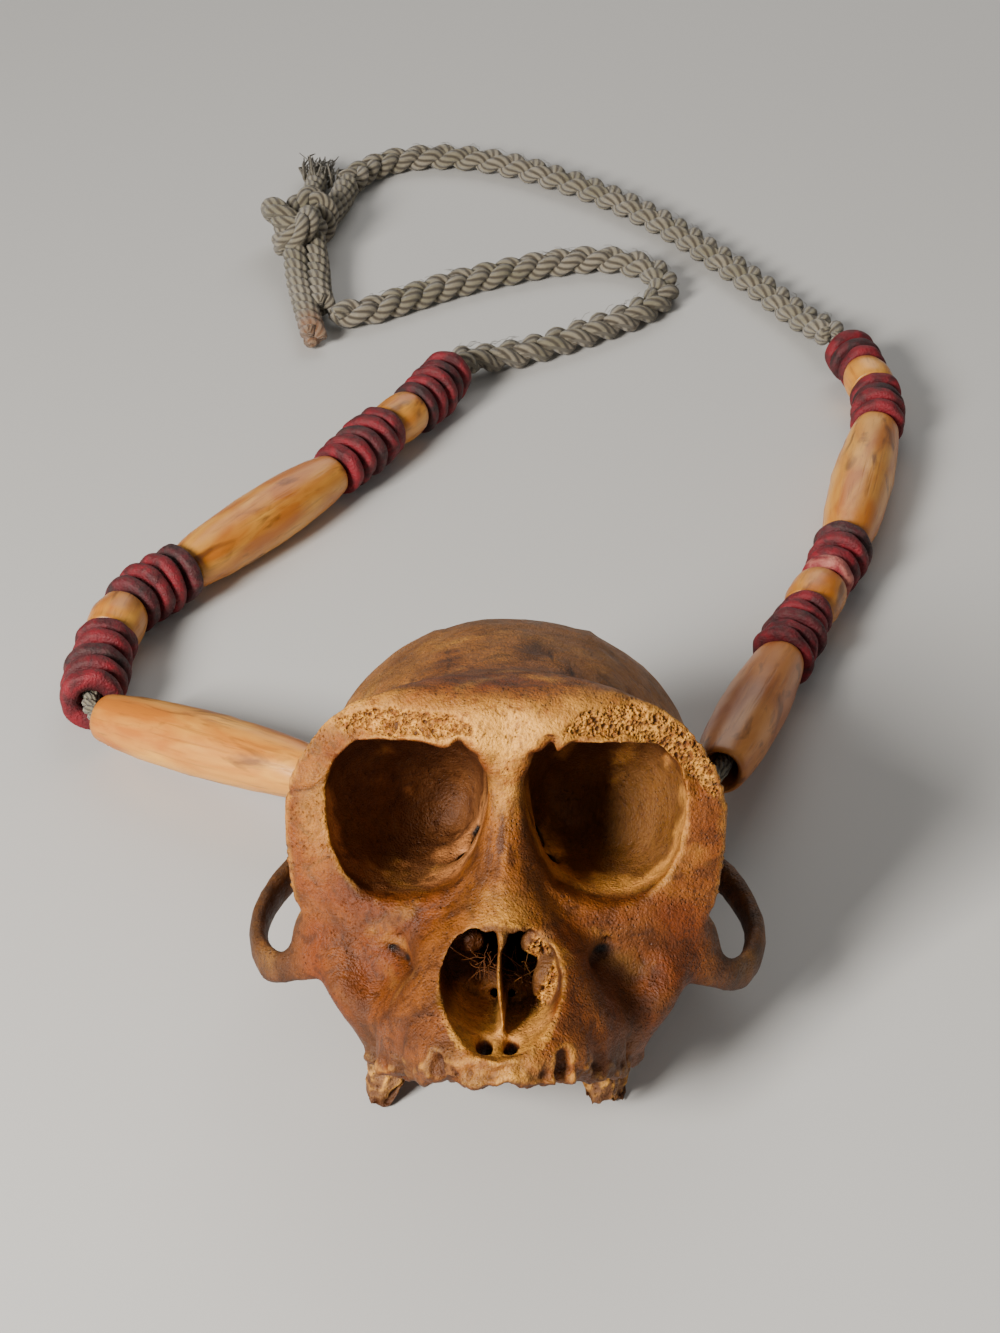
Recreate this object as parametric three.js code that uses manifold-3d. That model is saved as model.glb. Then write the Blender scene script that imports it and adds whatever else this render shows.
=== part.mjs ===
// A monkey skull strung on a necklace of bone beads and red discs, in millimetres with +Z up.
// The skull faces -Y and rests on its broken molars and its occipital condyles. The necklace
// lies behind it in a loop that ends in a knot.

import * as THREE from "three";
import { mergeVertices } from "three/addons/utils/BufferGeometryUtils.js";
import Module from "manifold-3d";

const wasm = await Module();
wasm.setup();

const { clamp, degToRad, lerp } = THREE.MathUtils;
const UP = new THREE.Vector3(0, 1, 0);

// The skull's own axes: X to the right as it is looked at, Y backwards, Z up, with the lower
// rims of the orbits at z = 0. It sits tilted back, with the orbits' centres at EYE_HEIGHT.
const SEAT_TILT = degToRad(19);
const EYE_HEIGHT = 45;
const EYE = new THREE.Vector3(14.6, 2, 12.3);

// How far the middle of the seated skull lies behind its orbits: it puts the origin under it.
const MIDDLE_BEHIND_EYES = 14.18;

// Skull walls and openings.
const VAULT_WALL = 2.2;
const ORBIT_WALL = 0.14; // share of the orbit's radius
const APEX_WALL = 1.6;
const SEPTUM = 1;
const STRING_HOLE = 5.4;
const TOOTH_GAP = 0.3;
const TABLE = 400;

// Necklace.
const BORE = 4.4;
const STRING_DIAMETER = 3.2;
const ROPE_DIAMETER = 6.6;
const BEAD_GAP = 0.3;

function finish(color, roughness) {
  return new THREE.MeshStandardMaterial({ color, roughness, metalness: 0 });
}
const AGED_BONE = finish(0xa8733f, 0.62);
const TOOTH = finish(0xc79a6a, 0.5);
const BEAD_BONE = finish(0xdba55f, 0.42);
const CRIMSON = finish(0x7a1c2c, 0.78);
const DARK_RED = finish(0x4a2c2e, 0.8);
const GREY_CORD = finish(0x77694f, 0.92);

// Solids from geometry, and back. A mirrored skin is turned right side out.
function solidFrom(geometry) {
  const bare = geometry.clone();
  bare.deleteAttribute("normal");
  bare.deleteAttribute("uv");
  const merged = mergeVertices(bare, 1e-4);
  const vertProperties = new Float32Array(merged.attributes.position.array);
  const triVerts = new Uint32Array(merged.index.array);
  const solid = new wasm.Manifold(new wasm.Mesh({ numProp: 3, vertProperties, triVerts }));
  if (solid.volume() > 0) return solid;
  triVerts.reverse();
  return new wasm.Manifold(new wasm.Mesh({ numProp: 3, vertProperties, triVerts }));
}

function geometryFrom(solid) {
  const { vertProperties, triVerts } = solid.getMesh();
  const geometry = new THREE.BufferGeometry();
  geometry.setAttribute("position", new THREE.BufferAttribute(vertProperties, 3));
  geometry.setIndex(new THREE.BufferAttribute(triVerts, 1));
  geometry.computeVertexNormals();
  return geometry;
}

function joined(solids) {
  return solids.reduce((sum, solid) => sum.add(solid));
}

function cut(solid, cutters) {
  return cutters.reduce((rest, cutter) => rest.subtract(cutter), solid);
}

function bothSides(make) {
  return [make(-1), make(1)];
}

// Moves every vertex of a geometry with a function that changes the vector it is given.
function shaped(geometry, move) {
  const position = geometry.attributes.position;
  const p = new THREE.Vector3();
  for (let i = 0; i < position.count; i++) {
    p.fromBufferAttribute(position, i);
    move(p);
    position.setXYZ(i, p.x, p.y, p.z);
  }
  return geometry;
}

// A closed skin over stations along one axis. place(station, across, ahead, reach) gives a
// point: across and ahead are the sine and cosine round the skin, and reach is 0 at a cap's
// middle and 1 on the wall.
function skin(sides, stations, place) {
  const levels = stations.length - 1;
  const drum = new THREE.CylinderGeometry(1, 1, 1, sides, levels);
  const wrapped = shaped(drum, (p) => {
    const reach = Math.hypot(p.x, p.z);
    const station = stations[Math.round((p.y + 0.5) * levels)];
    p.copy(place(station, reach ? p.x / reach : 0, reach ? p.z / reach : 0, reach));
  });
  return solidFrom(wrapped);
}

// A sine or cosine raised to a power with its sign kept, which squares a round outline off.
function squared(value, power) {
  return Math.sign(value) * Math.abs(value) ** power;
}

// The row of a table of stations at a place along it, worked out between its neighbours.
function between(stations, at) {
  const last = stations.length - 1;
  const next = stations.findIndex((row, i) => i > 0 && (at <= row[0] || i === last));
  const [low, high] = [stations[next - 1], stations[next]];
  const share = clamp((at - low[0]) / (high[0] - low[0]), 0, 1);
  return low.map((value, i) => lerp(value, high[i], share));
}

function ball(x, y, z, rx, ry, rz, around = 8) {
  const sphere = new THREE.SphereGeometry(1, around, Math.round(around * 0.6));
  return solidFrom(sphere.scale(rx, ry, rz).translate(x, y, z));
}

function peg(from, to, radius, sides = 6) {
  const start = new THREE.Vector3(...from);
  const end = new THREE.Vector3(...to);
  const rod = new THREE.CylinderGeometry(radius, radius, start.distanceTo(end), sides);
  const along = end.clone().sub(start).normalize();
  rod.applyQuaternion(new THREE.Quaternion().setFromUnitVectors(UP, along));
  return solidFrom(rod.translate(...start.lerp(end, 0.5).toArray()));
}

function ovalShape(rx, ry, sides) {
  const corner = (_, i) => {
    const turn = (2 * Math.PI * i) / sides;
    return new THREE.Vector2(rx * Math.cos(turn), ry * Math.sin(turn));
  };
  return new THREE.Shape(Array.from({ length: sides }, corner));
}

function smoothPath(points) {
  return new THREE.CatmullRomCurve3(points.map((p) => new THREE.Vector3(...p)));
}

function tube(points, rx, ry, sides, steps) {
  const extrudePath = smoothPath(points);
  return new THREE.ExtrudeGeometry(ovalShape(rx, ry, sides), { steps, extrudePath });
}

// The braincase in slices from front to back: y, half width, top, bottom.
const BRAINCASE = [
  [4, 18, 29.6, 8],
  [9, 21.4, 31.4, 3],
  [15, 23.5, 32.6, -2],
  [20, 25, 33.2, -5.5],
  [27, 27.4, 33.8, -8.5],
  [35, 29.1, 33.9, -10.5],
  [43, 29.9, 32.9, -12],
  [51, 29.6, 30.6, -13.4],
  [58, 28, 27, -13.8],
  [64, 25, 22, -12.5],
  [69, 20.5, 16.5, -9.5],
  [72.6, 14.5, 11.5, -6],
  [74.8, 8, 7.4, -2.4],
  [75.5, 3.4, 4.4, 0.6],
];
const WIDEST_SHARE = 0.42; // height of the widest level between bottom and top

function braincase(sides, wall) {
  const [front, back] = [BRAINCASE[0][0] + 4 * wall, BRAINCASE.at(-1)[0] - wall];
  const slices = BRAINCASE.map(([y]) => clamp(y, front, back));
  const kept = slices.filter((y, i) => slices.indexOf(y) === i);
  return skin(sides, kept, (y, across, ahead, reach) => {
    const [, half, top, bottom] = between(BRAINCASE, y);
    const middle = lerp(bottom, top, WIDEST_SHARE);
    const height = (ahead > 0 ? top - middle : middle - bottom) - wall;
    return new THREE.Vector3(reach * (half - wall) * across, y, middle + reach * height * ahead);
  });
}

// The face from the cheeks up to the brow: z, half width, front, side, back. Front and back
// are the places in Y on the middle line, and side is that of the outer edge.
const FACE = [
  [-15, 21, -6.5, 0, 5],
  [-12.6, 26, -7.8, 1.5, 7],
  [-9, 29.4, -8.2, 2.5, 8.5],
  [-4, 31, -7, 3, 9.5],
  [1, 32, -4.5, 3.5, 10],
  [7, 32.6, -3.6, 4, 10],
  [13, 32.7, -3.6, 4, 10],
  [18, 31.7, -4.2, 3.2, 10],
  [22.5, 29.6, -5, 2.2, 10],
  [26.5, 26.6, -5.4, 1.2, 10],
  [29.5, 22.6, -5, 0.4, 10.5],
  [31.6, 17, -3.4, 0, 10.5],
  [32.6, 9, -0.8, 1, 10],
];

function faceFront(x, z) {
  const [, half, front, side] = between(FACE, z);
  return lerp(front, side, Math.min(1, Math.abs(x) / half) ** 2);
}

function facePlate() {
  const plate = skin(28, FACE, ([z, half, front, side, back], across, ahead, reach) => {
    const edge = ahead > 0 ? lerp(front, side, across ** 2) : lerp(back, side, across ** 4);
    return new THREE.Vector3(reach * half * across, side + reach * (edge - side), z);
  });
  const templeHollows = bothSides((side) => ball(side * 31.5, 17, 2, 9, 11.5, 19, 12));
  return cut(plate, templeHollows);
}

// The snout with the nose ridge over it: z, half width, front, widest, rear. The last three
// are places in Y.
const SNOUT = [
  [-29, 20.4, -27, 3, 15.5],
  [-24, 20.6, -28.2, 3, 15.5],
  [-18, 20.2, -28.8, 2, 15],
  [-14.3, 19.2, -28.4, 1, 13],
  [-10, 17.2, -24.3, 0, 11],
  [-6, 14.6, -20, -2, 10],
  [-2.5, 11.4, -16.3, -3, 9],
  [0, 8.6, -13.9, -1, 8],
  [3.5, 6, -10, -1, 7],
  [7.5, 4.6, -6.9, 0, 6],
  [13, 3.8, -4.5, 1, 5],
  [20, 4.6, -4, 1, 5],
];
const BREAK_FRONT = [0, -30, -17.4]; // the broken lower edge, at the front and at the molars
const BREAK_REAR = [0, 4, -27.5];

function snout() {
  return skin(24, SNOUT, ([z, half, front, widest, rear], across, ahead, reach) => {
    const y = ahead > 0 ? (front - widest) * ahead : (rear - widest) * Math.abs(ahead) ** 0.4;
    return new THREE.Vector3(reach * half * across, widest + reach * y, z);
  });
}

// A block under the sloping broken edge of the upper jaw.
function underBreak() {
  const [, frontY, frontZ] = BREAK_FRONT;
  const [, rearY, rearZ] = BREAK_REAR;
  const block = new THREE.BoxGeometry(TABLE, TABLE, 40).translate(0, 0, -20);
  block.rotateX(Math.atan2(rearZ - frontZ, rearY - frontY));
  return solidFrom(block.translate(0, frontY, frontZ));
}

// One orbit's rim as it is seen from the front: distance from the middle line, height.
const ORBIT_RIM = [
  [2.6, 15],
  [3.6, 22.3],
  [7.2, 24.6],
  [16, 24.6],
  [22.5, 23.6],
  [25.9, 19],
  [26.4, 12.5],
  [24.6, 5],
  [20, 0.5],
  [14, 0.3],
  [8, 2.2],
  [4.8, 6.8],
];
const ORBIT_SIDES = 18;

// The orbit narrows backwards: y, size against the rim, how far its middle has moved in and
// down.
const ORBIT_DEPTH = [
  [-14, 1.12, 0, 0],
  [-4, 1.01, 0, 0],
  [1, 1, 0, 0],
  [6, 1.03, 0, 0],
  [12, 0.94, 0.6, 0.8],
  [18, 0.72, 2.4, 2.6],
  [23, 0.46, 4.4, 4.6],
  [26, 0.18, 5.8, 6],
];

function orbit(side, wall) {
  const rim = new THREE.CatmullRomCurve3(ORBIT_RIM.map(([x, z]) => new THREE.Vector3(x, 0, z)), true);
  const points = rim.getSpacedPoints(ORBIT_SIDES);
  const depth = wall ? ORBIT_DEPTH.filter(([y]) => y > 5) : ORBIT_DEPTH;
  return skin(ORBIT_SIDES, depth, ([y, size, inward, down], across, ahead, reach) => {
    const turn = (Math.atan2(across, ahead) / (2 * Math.PI) + 1) % 1;
    const rimPoint = points[Math.round(turn * ORBIT_SIDES) % ORBIT_SIDES];
    const grown = reach * (size + wall);
    const x = EYE.x - inward + grown * (rimPoint.x - EYE.x);
    const back = wall && y === ORBIT_DEPTH.at(-1)[0] ? y + APEX_WALL : y;
    return new THREE.Vector3(side * x, back, EYE.z - down + grown * (rimPoint.z - EYE.z));
  });
}

// The nose opening as it is seen from the front, and the passage behind it on each side of
// the septum.
const NOSE_OPENING = [
  [0, -0.4],
  [4.6, -0.5],
  [6.6, -2],
  [7.9, -4],
  [8.7, -7],
  [7.9, -9.6],
  [6.1, -11.9],
  [3.8, -13.6],
  [0, -14.4],
];
const SEPTUM_FRONT = -19;
const PASSAGE_END = -5;

function nosePassage() {
  const half = new THREE.SplineCurve(NOSE_OPENING.map((p) => new THREE.Vector2(...p)));
  const right = half.getPoints(9);
  const left = right.slice(1, -1).reverse().map((p) => new THREE.Vector2(-p.x, p.y));
  const outline = new THREE.Shape([...right, ...left]);
  const prism = new THREE.ExtrudeGeometry(outline, { depth: 60, bevelEnabled: false });
  const passage = solidFrom(prism.rotateX(Math.PI / 2).translate(0, PASSAGE_END, 0));
  const upper = ball(0, -3, -4.5, 5.4, 10.5, 6);
  const rear = ball(0, 5, -13, 5.6, 11, 2.7);
  const septum = new THREE.BoxGeometry(SEPTUM, 60, 40).translate(0, SEPTUM_FRONT + 30, 0);
  return cut(joined([passage, upper, rear]), [solidFrom(septum)]);
}

// The buttress under each cheek that runs down to the tooth row: z, middle in X, half width,
// middle in Y, half depth.
const BUTTRESS = [
  [-25, 17.8, 2.4, 0, 4],
  [-21.5, 18.1, 3.6, -0.8, 4.8],
  [-18.8, 19.1, 4.4, -1.2, 5.4],
  [-16, 20.7, 4.9, -1.2, 5.8],
  [-12.5, 22.8, 4.8, -0.4, 5.8],
  [-8, 24, 4, 2, 4],
];

function buttress(side) {
  return skin(10, BUTTRESS, ([z, x, half, y, deep], across, ahead, reach) => {
    return new THREE.Vector3(side * (x + reach * half * across), y + reach * deep * ahead, z);
  });
}

// A cheek arch springs from the cheek, stands clear of the temple and joins the braincase.
function cheekArch(side) {
  const spine = [
    [24, -0.5, -9.4],
    [30, 3.4, -12],
    [35, 8.4, -14.4],
    [38, 15.5, -13.7],
    [38.5, 23, -11.6],
    [36.6, 31, -9.4],
    [32.8, 38.5, -7.2],
    [27, 44.5, -5.2],
  ].map(([x, y, z]) => [side * x, y, z]);
  const root = ball(side * 28.2, 7.4, -8.8, 4.6, 5.2, 6);
  return solidFrom(tube(spine, 3.2, 1.6, 8, 13)).add(root);
}

// What the braincase stands on: condyles, the base in front of them, ear bones and the wings
// behind the palate.
function skullBase() {
  const middle = ball(0, 37, -11.5, 7.5, 21, 3.6, 12);
  const sides = bothSides((side) => [
    ball(side * 6.6, 54.5, -15, 3.8, 6, 4.2),
    ball(side * 16, 43, -10.5, 7.5, 10, 5.2),
    ball(side * 26.5, 47, -6.5, 4, 8, 6),
    ball(side * 24, 41, -4.5, 8, 6, 3.2),
    ball(side * 8, 16.5, -13, 1.5, 6.5, 11),
  ]);
  return [middle, ...sides.flat()];
}

// Holes through the base and the walls, the string's two holes last.
function openings() {
  const magnum = ball(0, 64, -13, 6.4, 6.2, 8, 12);
  const slots = [-2.2, 1.7].map((x) => ball(x, -22, -17, 1.3, 4, 7));
  const nerve = bothSides((side) => [
    peg([side * 15.3, -12, -5.6], [side * 15.3, 1, -4.4], 0.9),
    peg([side * 5.6, 12.6, 6.6], [side * 3.7, 18, 3.9], 1.6),
    peg([side * 7, 11, 3.8], [side * 5.6, 18, -3], 1.5),
    peg([side * 24, 43.5, -1.5], [side * 33, 43.5, -1.5], 1.8, 8),
  ]);
  return [magnum, ...slots, ...nerve.flat()];
}

// Where the brow is worn through to the spongy bone, as it is seen from the front: x, z.
const WORN_LEFT = [
  [-23.4, 25.4],
  [-19.6, 26.7],
  [-14.3, 27.1],
  [-9.6, 27.4],
  [-6.6, 27.6],
];
const WORN_RIGHT = [
  [9.8, 26],
  [14.2, 26.9],
  [19, 26.5],
  [23.5, 24],
  [27.4, 19.9],
  [29.8, 16.2],
];
const WORN_DEPTH = 1;

function wornStrip(places, radius) {
  const scoops = places.map(([x, z]) => [x, faceFront(x, z) + WORN_DEPTH - radius, z]);
  return solidFrom(tube(scoops, radius, radius, 8, 8));
}

// The broken tooth sockets and notches along the front edge of the jaw: x, y, radius, depth.
const SOCKETS = [
  [-14.2, -18.5, 1.7, 8],
  [-8.4, -25.5, 1.2, 4],
  [8.6, -25, 1.5, 5],
  [13.6, -19.5, 1.6, 9],
  [17.8, -9, 1.3, 6],
  [-18.4, -8, 1.4, 5],
  [3.6, -29.4, 1.3, 4],
];

function jawEdge(y) {
  const [, frontY, frontZ] = BREAK_FRONT;
  const [, rearY, rearZ] = BREAK_REAR;
  return lerp(frontZ, rearZ, (y - frontY) / (rearY - frontY));
}

function sockets() {
  return SOCKETS.map(([x, y, radius, depth]) => {
    const edge = jawEdge(y);
    return peg([x * 1.04, y, edge - 3], [x, y + 1, edge + depth], radius);
  });
}

// The roof of the mouth between the tooth rows.
function palateHollow() {
  return ball(0, -4, -29, 12.5, 22, 12.2, 14);
}

// Broken molars: name, x, y, half width across, half length, tip height, slant of the break.
const MOLARS = [
  ["molar_left_front", -18.6, 5.8, 3, 3, -40, 0],
  ["molar_left_back", -18.2, 12.2, 2.7, 2.6, -32.4, 0.5],
  ["molar_right_front", 16, 0.6, 3, 3.1, -34, -0.35],
  ["molar_right_back", 18.2, 7.8, 2.8, 3.2, -40, 0],
];
const ROOT_TOP = -22;

function molar([, x, y, across, along, tip], gap) {
  const stations = [
    [ROOT_TOP + gap, 0.55],
    [ROOT_TOP - 3, 0.72],
    [jawEdge(y) - 0.6, 0.86],
    [lerp(jawEdge(y), tip, 0.4), 1],
    [lerp(jawEdge(y), tip, 0.75), 0.95],
    [tip, 0.72],
  ];
  return skin(8, stations, ([z, size], right, ahead, reach) => {
    const sx = reach * (size * across + gap) * squared(right, 0.8);
    const sy = reach * (size * along + gap) * squared(ahead, 0.8);
    return new THREE.Vector3(x + sx, y + sy, z);
  });
}

function brokenMolar(tooth, belowTable) {
  const [, x, y, , , tip, slant] = tooth;
  const lost = new THREE.BoxGeometry(20, 20, 20).translate(0, 0, -10).rotateY(slant);
  const cutters = slant ? [solidFrom(lost.translate(x, y, tip + 2)), belowTable] : [belowTable];
  return cut(molar(tooth, 0), cutters);
}

function skullSolid(belowTable, stringHole) {
  const shells = bothSides((side) => orbit(side, ORBIT_WALL));
  const snoutSolid = cut(snout(), [underBreak(), palateHollow()]);
  const cheeks = [facePlate(), ...bothSides(buttress), ...bothSides(cheekArch)];
  const outside = [braincase(26, 0), ...shells, ...cheeks, snoutSolid, ...skullBase()];
  const inside = cut(braincase(16, VAULT_WALL), shells);
  return cut(joined(outside), [
    inside,
    ...bothSides((side) => orbit(side, 0)),
    nosePassage(),
    ...openings(),
    wornStrip(WORN_LEFT, 1.9),
    wornStrip(WORN_RIGHT, 2.3),
    ...sockets(),
    ...MOLARS.map((tooth) => molar(tooth, TOOTH_GAP)),
    stringHole,
    belowTable,
  ]);
}

// The seated skull and its teeth, in a group that tilts it back on the table.
function seatedSkull() {
  const seat = new THREE.Group();
  seat.rotation.x = -SEAT_TILT;
  const eyes = new THREE.Vector3(0, EYE.y, EYE.z).applyEuler(seat.rotation);
  seat.position.set(0, -eyes.y, EYE_HEIGHT - eyes.z);
  seat.updateMatrix();
  const backToSkull = seat.matrix.clone().invert();
  const block = new THREE.BoxGeometry(TABLE, TABLE, 60).translate(0, 0, -30);
  const belowTable = solidFrom(block.applyMatrix4(backToSkull));
  const [left, right] = bothSides((side) =>
    new THREE.Vector3(side * 40, STRING_ENTRY.y, STRING_ENTRY.z).applyMatrix4(backToSkull),
  );
  const stringHole = peg(left.toArray(), right.toArray(), STRING_HOLE / 2, 12);
  const skull = new THREE.Mesh(geometryFrom(skullSolid(belowTable, stringHole)), AGED_BONE);
  skull.name = "skull";
  seat.add(skull);
  for (const tooth of MOLARS) {
    const mesh = new THREE.Mesh(geometryFrom(brokenMolar(tooth, belowTable)), TOOTH);
    mesh.name = tooth[0];
    seat.add(mesh);
  }
  return seat;
}

// The strings run through the braincase, out of a hole on each side and through the beads.
const STRING_ENTRY = { y: 52.2, z: 12.2 };
const LEFT_STRING = [
  [-0.3, 52.2, 12.2],
  [-14, 52.2, 12.2],
  [-24, 52.4, 12.2],
  [-32.5, 55.8, 12],
  [-43, 62, 10.7],
  [-64, 74.6, 8],
  [-74, 80.6, 6.7],
  [-75.7, 82, 6.5],
  [-76.8, 84, 6.4],
  [-77.2, 86.4, 6.4],
  [-77.3, 91, 6.4],
  [-77.2, 98, 6.4],
  [-76.8, 108, 6.4],
  [-75.2, 117, 6.4],
  [-71.8, 124, 6.4],
  [-66.5, 131.2, 6.4],
  [-60, 141, 6.4],
  [-47, 160.6, 6.4],
  [-40.5, 170.5, 6.4],
  [-35, 181, 6.4],
  [-30, 191.4, 6.4],
  [-24.6, 200.4, 6.4],
  [-19.8, 211, 6.4],
  [-17.2, 221, 6.4],
];
const RIGHT_STRING = [
  [0.3, 52.2, 12.2],
  [14, 52.2, 12.2],
  [24.5, 52.4, 12.2],
  [30.5, 53.4, 12.2],
  [34.4, 57.8, 12],
  [37.6, 68, 10.8],
  [44.6, 90.5, 8],
  [48.2, 102.2, 6.6],
  [51, 110, 6.4],
  [54.4, 119.8, 6.4],
  [58.4, 130, 6.4],
  [61.6, 139, 6.4],
  [64.2, 148.4, 6.4],
  [67.2, 162, 6.4],
  [72, 184, 6.4],
  [74.6, 198, 6.4],
  [75.2, 208, 6.4],
  [73.8, 219, 6.4],
  [71, 230, 6.4],
  [68.6, 238, 6.4],
];

// Strung pieces in order from the skull: kind, length along the string, count.
const LEFT_STRUNG = [
  ["long_bead", 48, 1],
  ["bare", 5.2, 1],
  ["disc", 22.5, 5],
  ["short_bead", 9.8, 1],
  ["bare", 1, 1],
  ["disc", 17.5, 4],
  ["long_bead", 47, 1],
  ["disc", 22, 5],
  ["short_bead", 9.6, 1],
  ["disc", 19.5, 5],
];
const RIGHT_STRUNG = [
  ["long_bead", 46, 1],
  ["disc", 18.5, 5],
  ["short_bead", 10, 1],
  ["disc", 18, 4],
  ["long_bead", 49, 1],
  ["disc", 17, 4],
  ["short_bead", 8.6, 1],
  ["disc", 12.5, 3],
];
const LEFT_START = 33.4;
const RIGHT_START = 37.5;
const DISC_SHARE = 0.72; // a disc's thickness against its place on the string
const DISC_RADII = [5.9, 6.3, 5.6, 6.2, 5.8, 6.1];

const HALF_PROFILES = {
  long_bead: [4.7, 5.8, 6.3, 5.8, 4.7],
  short_bead: [4.9, 5.3, 4.9],
};

// A ring round the Y axis: a bore inside, and outer radii spaced evenly along its length.
function ring(length, radii, around) {
  const step = length / (radii.length - 1);
  const outer = radii.map((radius, i) => new THREE.Vector2(radius, i * step - length / 2));
  const bore = BORE / 2;
  const inner = [new THREE.Vector2(bore, length / 2), new THREE.Vector2(bore, -length / 2)];
  return new THREE.LatheGeometry([...outer, ...inner, outer[0]], around);
}

function strungPiece(kind, length, index) {
  if (kind === "disc") {
    const radius = DISC_RADII[index % DISC_RADII.length];
    return ring(length * DISC_SHARE, [radius - 0.3, radius - 0.2], 8);
  }
  const radii = HALF_PROFILES[kind];
  return ring(length - BEAD_GAP, radii, kind === "long_bead" ? 12 : 10);
}

function strungPieces(side, route, strung, start) {
  const path = smoothPath(route);
  const total = path.getLength();
  const group = new THREE.Group();
  const counts = {};
  let travelled = start;
  for (const [kind, span, count] of strung) {
    const length = span / count;
    if (kind === "bare") travelled += span;
    for (let i = 0; i < count && kind !== "bare"; i++) {
      const from = path.getPointAt(travelled / total);
      const to = path.getPointAt((travelled + length) / total);
      travelled += length;
      counts[kind] = (counts[kind] ?? 0) + 1;
      const material = kind !== "disc" ? BEAD_BONE : counts[kind] % 3 ? CRIMSON : DARK_RED;
      const solid = solidFrom(strungPiece(kind, length, counts[kind]));
      const mesh = new THREE.Mesh(geometryFrom(solid), material);
      mesh.name = `${kind}_${side}_${counts[kind]}`;
      mesh.position.copy(from).lerp(to, 0.5);
      mesh.quaternion.setFromUnitVectors(UP, to.sub(from).normalize());
      group.add(mesh);
    }
  }
  return group;
}

function cord(name, route, diameter, steps) {
  const radius = diameter / 2;
  const mesh = new THREE.Mesh(tube(route, radius, radius, 8, steps), GREY_CORD);
  mesh.name = name;
  return mesh;
}

// The braided ropes lie from the last discs to the knot.
const LEFT_ROPE = [
  [-17, 221.6, 6.3],
  [-15, 226.2, 5.6],
  [-10.6, 230, 4.2],
  [-3.4, 234, 3.5],
  [6.5, 240.8, 3.4],
  [16.5, 248.8, 3.4],
  [25.6, 257.4, 3.4],
  [30.8, 268, 3.4],
  [27.6, 279.4, 3.4],
  [17.4, 284.8, 3.4],
  [5, 282.6, 3.4],
  [-7.1, 277, 3.4],
  [-19.4, 269.8, 3.4],
  [-30, 261.5, 3.4],
  [-39.4, 254.4, 3.5],
  [-46, 252.2, 4],
];
const RIGHT_ROPE = [
  [68.4, 238.6, 6.3],
  [66.6, 244, 5.4],
  [63.6, 250.6, 4],
  [59.7, 258.4, 3.4],
  [53.4, 270.6, 3.4],
  [44.6, 285.4, 3.4],
  [35.4, 300.3, 3.4],
  [25.8, 313.2, 3.4],
  [15.9, 324.1, 3.4],
  [5.8, 332.7, 3.4],
  [-4.6, 340.2, 3.4],
  [-15, 345.1, 3.4],
  [-25.4, 346.8, 3.4],
  [-35.7, 344.6, 3.4],
  [-43.4, 337.6, 3.6],
  [-47.4, 327.6, 4.4],
];

// The knot: two loops drawn tight round a lump, with a frayed tail at each end.
function knot() {
  const loop = (x, y, z, turnY, turnZ) => {
    const round = new THREE.TorusGeometry(7.2, 3.6, 6, 10).scale(0.85, 1.1, 1);
    return solidFrom(round.rotateY(turnY).rotateZ(turnZ).translate(x, y, z));
  };
  const tail = (route, radius) => solidFrom(tube(route, radius, radius, 6, 5));
  const body = [
    ball(-57, 291.5, 8.2, 9.8, 15, 8),
    loop(-58.6, 285, 9.4, 0.5, 0.3),
    loop(-56.6, 298, 9.4, -0.6, -0.4),
    tail([[-54, 290, 5], [-51.4, 272, 4.2], [-50.4, 262, 3.8], [-49.6, 256.6, 3.6]], 3.5),
    tail([[-54, 290, 6], [-50.4, 306, 5], [-48.6, 315, 4.6], [-48, 322.8, 4.4]], 3.4),
    tail([[-58, 294, 8], [-57.4, 312, 5.6], [-55.4, 330, 3.6], [-56.4, 346, 3.2]], 3),
    tail([[-58, 286, 6], [-55.4, 268, 4], [-51.9, 252, 3.4], [-49.2, 239.6, 3.2]], 3.1),
  ];
  const mesh = new THREE.Mesh(geometryFrom(joined(body)), GREY_CORD);
  mesh.name = "knot";
  return mesh;
}

const strungSkull = new THREE.Group();
strungSkull.position.y = -MIDDLE_BEHIND_EYES;
strungSkull.add(
  seatedSkull(),
  strungPieces("left", LEFT_STRING, LEFT_STRUNG, LEFT_START),
  strungPieces("right", RIGHT_STRING, RIGHT_STRUNG, RIGHT_START),
  cord("string_left", LEFT_STRING, STRING_DIAMETER, 30),
  cord("string_right", RIGHT_STRING, STRING_DIAMETER, 30),
  cord("rope_left", LEFT_ROPE, ROPE_DIAMETER, 22),
  cord("rope_right", RIGHT_ROPE, ROPE_DIAMETER, 22),
  knot(),
);

export default strungSkull;
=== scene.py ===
"""A monkey skull strung on a necklace of bone beads and dyed discs, dressed over its solids.

Lengths in names that end in _mm are millimetres, and everything that Blender gets is metres.
The skull has axes of its own: X to the right as it is looked at, Y backwards and Z up, with
the lower rims of its orbits at Z = 0. Seat turns them into the axes of the whole part.
"""

import logging
import math
import random
from dataclasses import dataclass, field
from enum import Enum

import bpy
import numpy as np
from mathutils import Matrix, Vector, noise


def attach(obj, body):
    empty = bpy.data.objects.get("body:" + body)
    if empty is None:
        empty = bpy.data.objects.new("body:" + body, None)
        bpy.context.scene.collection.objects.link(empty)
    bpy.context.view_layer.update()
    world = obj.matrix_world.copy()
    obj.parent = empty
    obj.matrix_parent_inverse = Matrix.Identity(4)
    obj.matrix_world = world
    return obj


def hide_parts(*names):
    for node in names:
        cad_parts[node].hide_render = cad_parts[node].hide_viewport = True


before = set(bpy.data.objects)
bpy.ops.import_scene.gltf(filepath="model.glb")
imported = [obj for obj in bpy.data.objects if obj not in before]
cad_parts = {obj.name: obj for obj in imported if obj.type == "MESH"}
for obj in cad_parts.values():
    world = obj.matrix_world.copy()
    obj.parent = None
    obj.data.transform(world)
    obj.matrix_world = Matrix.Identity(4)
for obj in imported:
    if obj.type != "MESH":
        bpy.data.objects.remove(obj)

MM = 0.001
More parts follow.
